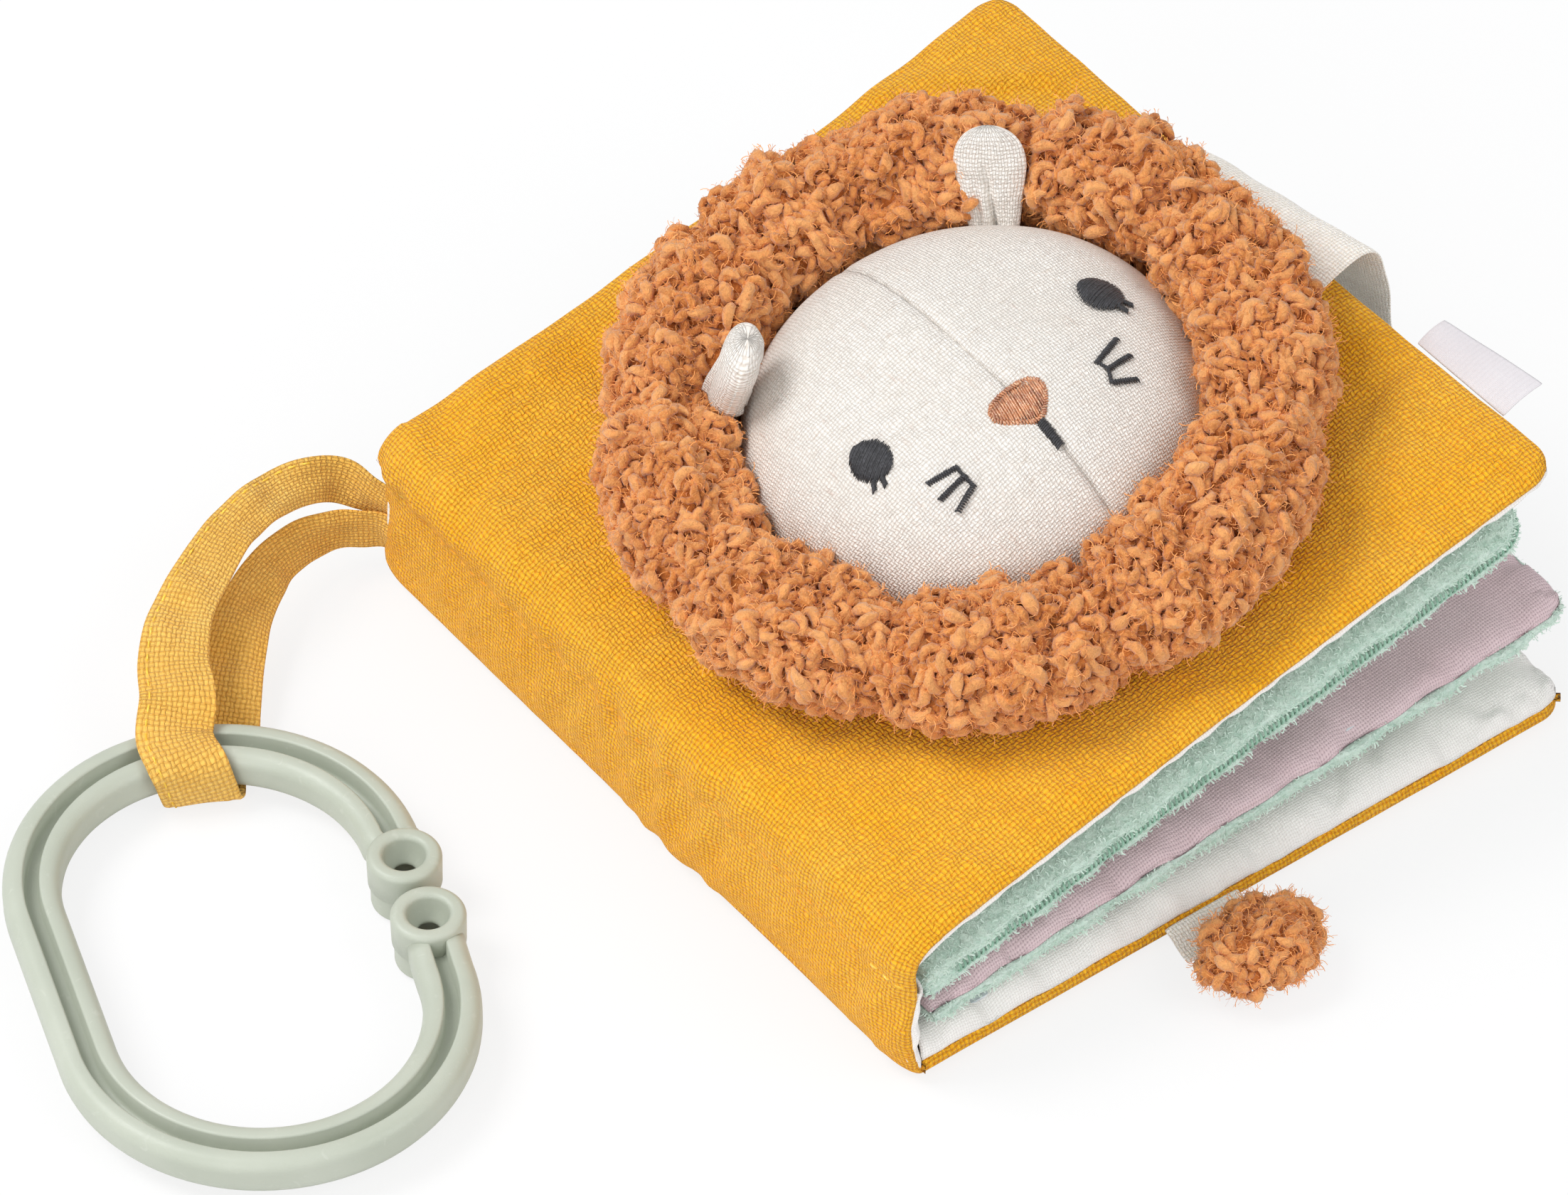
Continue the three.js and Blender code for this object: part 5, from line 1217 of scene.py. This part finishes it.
whisker_lines = {
    "whiskers_right": [(22.1, -14.6, 16.4, -16.9), (21.9, -18.2, 17.1, -18.8), (19.9, -22.3, 15.8, -21.1),
                       (16.4, -16.9, 17.1, -18.8), (17.1, -18.8, 15.8, -21.1)],
    "whiskers_left": [(-18.9, -15.9, -13.8, -17.3), (-19.1, -19.2, -13.8, -19.3),
                      (-18.2, -22.5, -13.7, -21.4), (-13.8, -17.3, -13.8, -19.3),
                      (-13.8, -19.3, -13.7, -21.4)],
}
for node, lines in whisker_lines.items():
    strands = []
    for number, line in enumerate(lines):
        strands += line_of_stitches(*line, 0.95 if number < 3 else 0.5, 0.42, 120 + number)
    sewn(node + "_stitches", node, strands)

# Ears
# Petals of the face's linen, folded double and turned right side out, pleated at the root.
# The right ear faces the camera and the left ear is seen on its edge.
ear_width, ear_length, ear_thickness = 13.0, 15.5, 3.0


def ear(name, node, turn, lean, inset, drop, puff, length, seed):
    """An ear. It turns round the face from its right side, and leans up from the cover."""
    s_grid, t_grid = np.meshgrid(
        np.sin(np.linspace(-1, 1, 41) * math.pi / 2), np.sin(np.linspace(0, 1, 45) * math.pi / 2)
    )
    tip = np.sqrt(np.maximum(1 - (np.clip(t_grid - 0.6, 0, 1) / 0.4) ** 2.6, 0.0004))
    width = ear_width / 2 * np.minimum(0.66 + 0.5 * t_grid, 0.96) * tip
    bulge = puff / 2 * np.sqrt(np.maximum(1 - s_grid**2, 0)) * (0.5 + 0.5 * tip)
    bulge = bulge * np.sqrt(np.clip(tip * 1.2, 0, 1))
    pleat = np.exp(-(((s_grid - 0.1 + 0.4 * t_grid) / 0.13) ** 2)) * np.clip(1.3 - 1.5 * t_grid, 0, 1)
    fold = np.exp(-(((s_grid + 0.42) / 0.12) ** 2)) * np.clip(0.9 - 1.1 * t_grid, 0, 1)
    ruck = 0.14 * rippled(seed, 4, s_grid * width, t_grid * ear_length)
    off_edge = np.clip((1 - np.abs(s_grid)) * 5, 0, 1)
    front, back = bulge + (ruck - 2.3 * pleat - 1.0 * fold) * off_edge, -bulge - (1.2 * pleat) * off_edge
    outward = np.array([math.cos(turn), math.sin(turn), 0])
    along = outward * math.cos(lean) + np.array([0, 0, math.sin(lean)])
    across = -np.array([-math.sin(turn), math.cos(turn), 0])
    normal = np.cross(across, along)
    root = outward * (face_radius - inset) + np.array([0, 0, mane_half_height + ear_thickness - 1.4 - drop])
    middle = root + (s_grid * width)[..., None] * across + (t_grid * (length + 2.5))[..., None] * along
    outer, inner = (on_head(*np.moveaxis(middle + side[..., None] * normal, -1, 0)) for side in (front, back))
    cut = (s_grid * ear_width / 2 * 1.1 + 20 * seed, t_grid * ear_length)
    made = cloth_piece(name, outer, inner, cut, face_linen)
    belongs(made, "front", "linen", node)


ear("right_ear_petal", "ear_right", math.radians(44), math.radians(56), 3.7, 0.0, 3.8, ear_length, 131)
ear("left_ear_petal", "ear_left", math.radians(136), math.radians(112), 0.4, -3.0, 7.0, 14.0, 133)

# Closure strap
# A doubled linen strap sewn on the front cover, laid over its fore edge and hanging down behind.
# Its end carries the hook half of the touch fastening on the inner side.
strap_width, strap_middle, strap_thickness = 40.0, 73.5, 1.4
strap_linen = flecked_linen("strap_linen", srgb(244, 240, 232), srgb(216, 206, 193), srgb(250, 247, 242))
# Light comes through the thin linen: a subsurface share, and a faint glow painted on as emission, a painted
# light, so the strap's shaded side stays pale.
strap_shader = strap_linen.node_tree.nodes["Principled BSDF"]
feed(tree, strap_shader, Subsurface_Weight=0.5, Subsurface_Radius=(0.004, 0.0037, 0.0032))
feed(tree, strap_shader, Emission_Color=srgb(250, 238, 220), Emission_Strength=0.11)


def strap_piece(name, line, thickness, width, middle, material, skew, slant_run, soft, seed=141, count=34):
    """A flat strap along a line beside the cover. Its far edge slants back by the skew."""
    heading = unit(np.gradient(line, axis=0))
    out = np.stack([-heading[:, 1], heading[:, 0]], -1)
    across = np.sin(np.linspace(-1, 1, count) * math.pi / 2)[:, None]
    full = np.sqrt(np.maximum(1 - np.abs(across) ** 8, 0.03))
    length = run_lengths(line)[None, :]
    wave = soft * rippled(seed, 16, length + 0 * across, across * width / 2)
    slant = skew * (1 + across) * width / 2 * np.interp(length, *slant_run)
    def side(sign):
        lift = sign * full * thickness / 2 + wave
        along, raised = line[:, 0] + out[:, 0] * lift - slant, line[:, 1] + out[:, 1] * lift
        return on_cover(along, middle + across * width / 2, raised)
    cut = np.meshgrid(length[0], across[:, 0] * width / 2)
    return cloth_piece(name, side(1), side(-1), cut, material), cut


def smoothed(stops, count):
    """A soft line through its stops."""
    stops = np.asarray(stops, float)
    run = run_lengths(stops)
    line = np.stack([np.interp(np.linspace(0, run[-1], count), run, stops[:, i]) for i in range(2)], -1)
    for _ in range(6):
        line[1:-1] = (line[:-2] + 2 * line[1:-1] + line[2:]) / 4
    return line


strap_line = smoothed([
    (124, 10.8), (128, 10.9), (132, 11.4), (136, 12.7), (140, 13.9), (143.5, 14.1), (146.2, 13.0),
    (147.6, 10.6), (148.0, 7.1), (148.2, 2.5), (147.9, -2), (147.3, -8), (146.3, -15), (145.2, -22),
    (144.1, -29), (143, -36),
], 96)
strap, cut = strap_piece("closure_strap_cloth", strap_line, strap_thickness, strap_width, strap_middle,
                         strap_linen, 0.17, ((0, 22, 36, 58), (0, 1, 1, 0.3)), 0.35)
fold_at = on_cover(np.array(147.0), np.array(strap_middle), np.array(11.0)) - book_corner
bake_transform(strap)
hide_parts("closure_strap_band", "closure_strap_flap")


def fastening_material(name, colour, deep, pitch, height):
    """Nylon tape with rows of fine hooks or loops standing on it, darker between them: painted shade at their
    feet.
    """
    material, tree, shader = new_material(name)
    place = book_place(tree)
    stubs = add(tree, "ShaderNodeTexVoronoi", {"feature": "F1"}, Vector=place, Scale=1000 / pitch,
                Randomness=0.5)
    stand = spread(tree, stubs, 0.2, 0.6, 1.0, 0.0)
    # The deep colour between the stubs is painted shade.
    feed(tree, shader, Base_Color=mixed(tree, stand, deep, colour))
    embossed(tree, shader, height, stand)
    feed(tree, shader, Roughness=0.55)
    return material


hook_nylon = fastening_material("hook_nylon", srgb(238, 236, 230), srgb(196, 194, 188), 0.9, 0.6)
loop_nylon = fastening_material("loop_nylon", srgb(240, 238, 233), srgb(210, 207, 200), 0.5, 0.3)
hook_line = strap_line[74:92]
inner_way = unit(np.gradient(hook_line, axis=0))[:, ::-1] * (1, -1)
hooks, cut = strap_piece("hook_fastening", hook_line + 1.25 * inner_way, 0.8, 36, strap_middle, hook_nylon,
                         0.17, ((0, 1), (0.35, 0.3)), 0.0, 145)
belongs(hooks, "closure_flap", "touch_fastening", "hook_patch")
finish_cad(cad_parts["loop_patch"], loop_nylon)

# Label
# A folded satin tab in the seam of the fore edge. It is left bare.
satin_weave = woven_cloth(
    "grey_satin", srgb(214, 210, 213), srgb(196, 191, 195), srgb(226, 223, 226),
    (0.3, 0.9), 0.03, 0.03, 0.35, 0.15,
)
satin_weave.node_tree.nodes["Principled BSDF"].inputs["Anisotropic"].default_value = 0.4
label_steps = np.linspace(0, 1, 24)
label_line = np.stack([141.3 + 8.6 * label_steps, 7.2 + 0.9 * np.sin(label_steps * 2.2)], -1)
label, _ = strap_piece("satin_tab", label_line, 0.6, 22, 26, satin_weave,
                       0.12, ((0, 8), (0, 1)), 0.12, 151, 24)
belongs(label, "front", "satin", "satin_label")

# Ring
# Injection-moulded sage plastic, a bar with a groove in its top, bent to a racetrack.
# It ends in two eyelets that stand side by side, each with a funnel and a through hole.
ring_place, ring_turn = np.array([-71.2, 84.7]), math.radians(-19)
bend_radius, half_straight, bar_level, half_bar, bar_top = 30.1, 15.9, 2.4, 4.85, 10.2
eyelet_spacing, eyelet_radius, eyelet_top, eyelet_bottom, eyelet_shift = 13.9, 6.3, 11.2, 0.25, 2.0
eyelet_x = bend_radius + (eyelet_radius - half_bar) / 3


def corner_arc(x, z, radius, start, end, count):
    """Points round a corner of a moulded section."""
    turns = np.radians(np.linspace(start, end, count))
    return [(x + radius * math.cos(t), z + radius * math.sin(t)) for t in turns]


side_round, top_round, lip_round, half_groove, groove_floor = 3.3, 2.4, 0.45, 1.3, 6.6
half_section = (
    corner_arc(half_bar - side_round, bar_level + side_round, side_round, -90, 0, 8)
    + corner_arc(half_bar - top_round, bar_top - top_round, top_round, 0, 90, 8)
    + corner_arc(half_groove + lip_round, bar_top - lip_round, lip_round, 90, 180, 4)
    + [(half_groove - 0.1, groove_floor + 0.5), (half_groove - 0.5, groove_floor)]
)
bar_section = np.array(half_section + [(-x, z) for x, z in half_section[::-1]])
eyelet_ends = [eyelet_shift + eyelet_spacing / 2, eyelet_shift - eyelet_spacing / 2]
beside_eyelet = (eyelet_x + bend_radius) / 2
stations = [(eyelet_x, eyelet_ends[0] + 4.15, 90.0), (beside_eyelet, eyelet_ends[0] + 6.4, 92)]
for middle, first, last in ((half_straight, 0, 180), (-half_straight, 180, 360)):
    stations += [
        (bend_radius * math.cos(t), middle + bend_radius * math.sin(t), math.degrees(t) + 90)
        for t in np.radians(np.linspace(first, last, 60))
    ]
stations += [(beside_eyelet, eyelet_ends[1] - 7, 447), (eyelet_x, eyelet_ends[1] - 4.15, 450)]


def ring_points(x, y, z):
    """Points of the ring: from its middle, across and along its straight sides, and up from the table."""
    c, s = math.cos(ring_turn), math.sin(ring_turn)
    return np.stack([ring_place[0] + x * c - y * s, ring_place[1] + x * s + y * c, z], -1)


points, faces = [], []
for x, y, way in stations:
    nx, ny = -math.sin(math.radians(way)), math.cos(math.radians(way))
    points.append(ring_points(x + bar_section[:, 0] * nx, y + bar_section[:, 0] * ny, bar_section[:, 1]))
count = len(bar_section)
at = np.arange(len(stations) * count).reshape(-1, count)
after = np.roll(at, -1, 1)
faces += np.stack([at[:-1], after[:-1], after[1:], at[1:]], -1).reshape(-1, 4).tolist()
faces += [at[0, ::-1].tolist(), at[-1].tolist()]
eyelet_section = np.array(
    [(5.0, eyelet_bottom + 0.3), (5.15, eyelet_bottom)]
    + corner_arc(5.3, eyelet_bottom + 0.5, 0.5, -90, 0, 4)
    + [(5.8, 4.3), (5.9, 4.7), (6.2, 4.95)]
    + corner_arc(eyelet_radius - 1.1, eyelet_top - 1.1, 1.1, 0, 90, 7)
    + corner_arc(3.5 + 1.0, eyelet_top - 1.0, 1.0, 90, 180, 6)
    + [(3.3, 9.0), (2.9, 7.9), (2.4, 7.1), (2.1, 6.75), (2.0, 6.4), (2.2, 6.1), (4.7, 5.8), (5.0, 5.4)]
)
out, up = eyelet_section.T
around = np.radians(np.linspace(0, 360, 56, endpoint=False))
for centre in eyelet_ends:
    start = sum(len(part) for part in points)
    points += [
        ring_points(eyelet_x + out * math.cos(t), centre + out * math.sin(t), up) for t in around
    ]
    at = start + np.arange(len(around) * len(eyelet_section)).reshape(len(around), -1)
    beyond = np.roll(at, -1, 0)
    sides = [at, beyond, np.roll(beyond, -1, 1), np.roll(at, -1, 1)]
    faces += np.stack(sides, -1).reshape(-1, 4).tolist()
sage, tree, shader = new_material("sage_plastic")
place = book_place(tree)
pearl = noise(tree, place, 60.0, 3.0)
grain = noise(tree, place, 3200.0, 2.0)
scuff = noise(tree, place, 340.0, 5.0, Distortion=1.5)
tone = mixed(tree, spread(tree, pearl, 0.3, 0.7), srgb(178, 184, 169), srgb(188, 193, 179))
tone = mixed(tree, spread(tree, scuff, 0.62, 0.72, 0.0, 0.25), tone, srgb(210, 212, 202))
feed(tree, shader, Base_Color=tone)
embossed(tree, shader, 0.03, grain)
feed(tree, shader, Roughness=spread(tree, scuff, 0.3, 0.7, 0.38, 0.5), Subsurface_Weight=0.05)
feed(tree, shader, Subsurface_Radius=(0.002, 0.002, 0.0015))
link_ring = piece_from("sage_ring", np.concatenate(points), faces, None, sage)
belongs(link_ring, "link_ring", "sage_plastic", "ring")

# Hang loop
# A strap of mustard basket-weave cotton, folded double and stitched along both sides.
# It is sewn in the top end of the spine, goes round the ring's bar and comes back.
loop_width, loop_thickness = 13.0, 1.5
strap_mustard = woven_cloth(
    "mustard_strap", srgb(252, 196, 88), srgb(210, 140, 44), srgb(255, 216, 124),
    (0.9, 0.9), 0.14, 0.4, 0.6, 0.45,
)
wrap_along, wrap_shift, table_gap, square_share = 4.2, 2.6, 0.4, 0.6
wrap_turn = math.asin(wrap_along / bend_radius)
inner_bend = bend_radius - half_bar
bar_sag = inner_bend - math.sqrt(inner_bend**2 - ((loop_width + wrap_shift) / 2) ** 2)
wrap_reach = half_bar + bar_sag + 0.3 + loop_thickness / 2
wrap_bottom, wrap_top = table_gap + loop_thickness / 2, bar_top + 0.6 + loop_thickness / 2
wrap_level, wrap_rise = (wrap_top + wrap_bottom) / 2, (wrap_top - wrap_bottom) / 2
wrap_stops = []
for degrees in (90, 120, 150, 180, 210, 240, 270):
    t = math.radians(degrees)
    squared = lambda value: math.copysign(abs(value) ** square_share, value)
    out = bend_radius + squared(math.cos(t)) * wrap_reach
    slide = wrap_shift * (degrees / 90 - 2)
    at = ring_points(
        np.array(out * math.sin(wrap_turn) + slide * math.cos(wrap_turn)),
        np.array(half_straight + out * math.cos(wrap_turn) - slide * math.sin(wrap_turn)),
        np.array(wrap_level + squared(math.sin(t)) * wrap_rise),
    )
    way = ring_turn - wrap_turn
    wrap_stops.append((tuple(at), (-math.cos(way), -math.sin(way), 0)))
loop_stops = [
    ((4.4, 146.6, 13.8), (0, 0, 1)), ((4.2, 149.6, 13.9), (0, 0, 1)),
    ((2.8, 154.0, 15.0), (0.1, 0.2, 1)), ((-0.8, 157.8, 16.8), (0.3, 0.5, 1)),
    ((-6.4, 159.0, 18.4), (0.3, 1, 0.9)), ((-13.2, 158.6, 19.4), (-0.1, 1, 0.6)),
    ((-21.4, 156.6, 19.6), (-0.5, 1, 0.3)), ((-31.4, 151.8, 18.6), (-0.8, 0.9, 0.1)),
    ((-40.4, 146.2, 17.0), (-1, 0.7, 0)), ((-46.8, 139.2, 15.4), (-1, 0.5, 0)),
    ((-50.4, 132.8, 13.9), (-1, 0.5, 0)),
    *wrap_stops,
    ((-44.6, 129.6, 2.6), (-1, 0.6, 0)), ((-40.6, 133.8, 4.6), (-1, 0.8, 0.05)),
    ((-34.4, 140.2, 7.4), (-1, 0.9, 0.2)), ((-26.2, 147.4, 9.6), (-0.8, 1, 0.6)),
    ((-16.8, 152.6, 10.4), (-0.4, 0.9, 1)), ((-9.0, 154.4, 9.8), (-0.1, 0.4, 1)),
    ((-2.0, 153.4, 9.0), (0, 0.1, 1)), ((2.6, 149.8, 9.0), (0, 0, 1)),
    ((3.8, 146.6, 9.0), (0, 0, 1)),
]


def smooth_path(stops, count):
    """A smooth line through its stops, and how many stops each of its points has passed."""
    stops = np.asarray(stops, float)
    knots = np.concatenate([[0], np.cumsum(np.linalg.norm(np.diff(stops, axis=0), axis=1) ** 0.5)])
    slopes = np.gradient(stops, knots, axis=0)
    at = np.linspace(0, knots[-1], count)
    k = np.clip(np.searchsorted(knots, at, side="right") - 1, 0, len(knots) - 2)
    h = (knots[k + 1] - knots[k])[:, None]
    s = ((at - knots[k]) / h[:, 0])[:, None]
    return (
        (2 * s**3 - 3 * s**2 + 1) * stops[k] + (s**3 - 2 * s**2 + s) * h * slopes[k]
        + (-2 * s**3 + 3 * s**2) * stops[k + 1] + (s**3 - s**2) * h * slopes[k + 1]
    ), np.interp(at, knots, np.arange(len(knots)))


line, stop_share = smooth_path([place for place, way in loop_stops], 260)
ways = unit(np.array([way for place, way in loop_stops], float))
width_way = np.stack([np.interp(stop_share, np.arange(len(loop_stops)), ways[:, i]) for i in range(3)], -1)
for _ in range(6):
    width_way[1:-1] = (width_way[:-2] + 2 * width_way[1:-1] + width_way[2:]) / 4
heading = unit(np.gradient(line, axis=0))
width_way = unit(width_way - (width_way * heading).sum(1, keepdims=True) * heading)
face_way = np.cross(heading, width_way)
run_length = run_lengths(line)
across = np.sin(np.linspace(-1, 1, 22) * math.pi / 2)[:, None]
full = np.sqrt(np.maximum(1 - np.abs(across) ** 6, 0.05))
near_wrap = np.exp(-(((stop_share - 14) / 4.0) ** 2))
near_ends = np.exp(-stop_share / 1.6) + np.exp(-(len(loop_stops) - 1 - stop_share) / 1.6)
stitch_line = -0.22 * np.exp(-(((np.abs(across) - 0.78) / 0.07) ** 2))
ruck = 0.4 * rippled(161, 9, run_length + 0 * across, 0.6 * across * loop_width) * (1 - near_wrap)
ruck = ruck + 0.25 * near_ends * np.cos(across * 2.4)
from_wrap = np.clip((np.abs(stop_share - 14) - 3.5) / 5.5, 0, 1)
half_drawn = loop_width / 2 * (1 - 0.38 * from_wrap**2 * (3 - 2 * from_wrap))


def loop_side(sign):
    """The strap's outer (-1) or inner (1) side, narrower towards its sewn ends."""
    lift = sign * full * (loop_thickness / 2 + stitch_line) + ruck
    return line + (across * half_drawn)[..., None] * width_way + lift[..., None] * face_way


cut = np.meshgrid(run_length, across[:, 0] * loop_width / 2)
hang_loop = cloth_piece("mustard_hang_strap", loop_side(-1), loop_side(1), cut, strap_mustard)
belongs(hang_loop, "strap", "mustard_strap", "hang_loop")
edge_line = loop_side(-1)[np.argmin(np.abs(across - 0.76)), 30:150]
loop_stitches = running_stitches(edge_line, -face_way[30:150], 2.6, 1.9, 0.4, 0.05)
belongs(strands_piece("hang_loop_stitches", loop_stitches, yellow_thread), "strap", "mustard_strap")

# Tail
# A linen tape from the seam of the bottom edge, with a stuffed tuft of the mane's plush on its end.
tail_x, tape_width, tape_length, tape_level, tape_rest = 62.3, 15.5, 5.4, 2.7, 0.5
tape_shares = np.linspace(0, 1.15, 18)
eased = np.clip(tape_shares, 0, 1) ** 2 * (3 - 2 * np.clip(tape_shares, 0, 1))
tape_z = tape_level - (tape_level - tape_rest) * eased + 0.5
tape_across = np.sin(np.linspace(-1, 1, 26) * math.pi / 2)[:, None]
tape_full = np.sqrt(np.maximum(1 - np.abs(tape_across) ** 8, 0.05))


def tape_side(raise_by):
    """The tape's upper or lower side, half a millimetre off its middle."""
    x, y = tail_x - tape_across * tape_width / 2, -0.3 - tape_shares * tape_length
    return np.stack(np.broadcast_arrays(x, y, tape_z + raise_by * tape_full), -1)


cut = np.meshgrid(tape_shares * tape_length, tape_across[:, 0] * tape_width / 2)
# The tape's linen carries the strap's faint painted glow.
tape = cloth_piece("tail_linen_tape", tape_side(0.5)[::-1], tape_side(-0.5)[::-1], cut, strap_linen)
tuft_half_width, tuft_length, tuft_half_height = 12.0, 17.0, 6.1
turns = np.radians(np.linspace(0, 360, 72, endpoint=False))
rises = np.linspace(-math.pi / 2, math.pi / 2, 34)[1:-1]
turn_grid, rise_grid = np.meshgrid(turns, rises, indexing="ij")
flatness = np.cos(rise_grid) ** 0.75
lump = 1 + 0.05 * rippled(171, 1.3, np.cos(turn_grid) * 2, np.sin(turn_grid) * 2, rise_grid)
body_x = (tuft_half_width - 1.2) * np.cos(turn_grid) * flatness * lump
body_y = (tuft_length / 2 - 1.0) * np.sin(turn_grid) * flatness * lump
narrow = 1 - 0.22 * np.clip(body_y / (tuft_length / 2), 0, 1)
tuft_grid = np.stack([
    tail_x + 0.3 + body_x * narrow,
    -0.3 - tape_length - tuft_length / 2 - 0.2 + body_y,
    tuft_half_height + 0.35 + (tuft_half_height - 1.1) * np.sin(rise_grid) * lump,
], -1)
at = np.arange(turn_grid.size).reshape(turn_grid.shape)
after = np.roll(at, -1, 0)
faces = np.stack([at[:, :-1], after[:, :-1], after[:, 1:], at[:, 1:]], -1).reshape(-1, 4).tolist()
faces += [at[::-1, 0].tolist(), at[:, -1].tolist()]
# The tuft's ground is the darker caramel, painted shade between its curls.
tuft = piece_from("tail_tuft_ground", tuft_grid.reshape(-1, 3), faces, None, sherpa_ground_painted_shade)
pile_share(tuft, lambda places, outward: np.clip((outward[:, 2] + 0.8) / 0.3, 0, 1))
sherpa_coat(tuft, "tail", ("tail_tuft_curls", "tail_tuft_fuzz"), (17, 18),
            0.0014, 0.0014, 0.00085, 1.4e6, 0.0001)
belongs(tape, "tail", "linen", "tail_tape")
belongs(tuft, "tail", "caramel_plush", "tail_tuft")
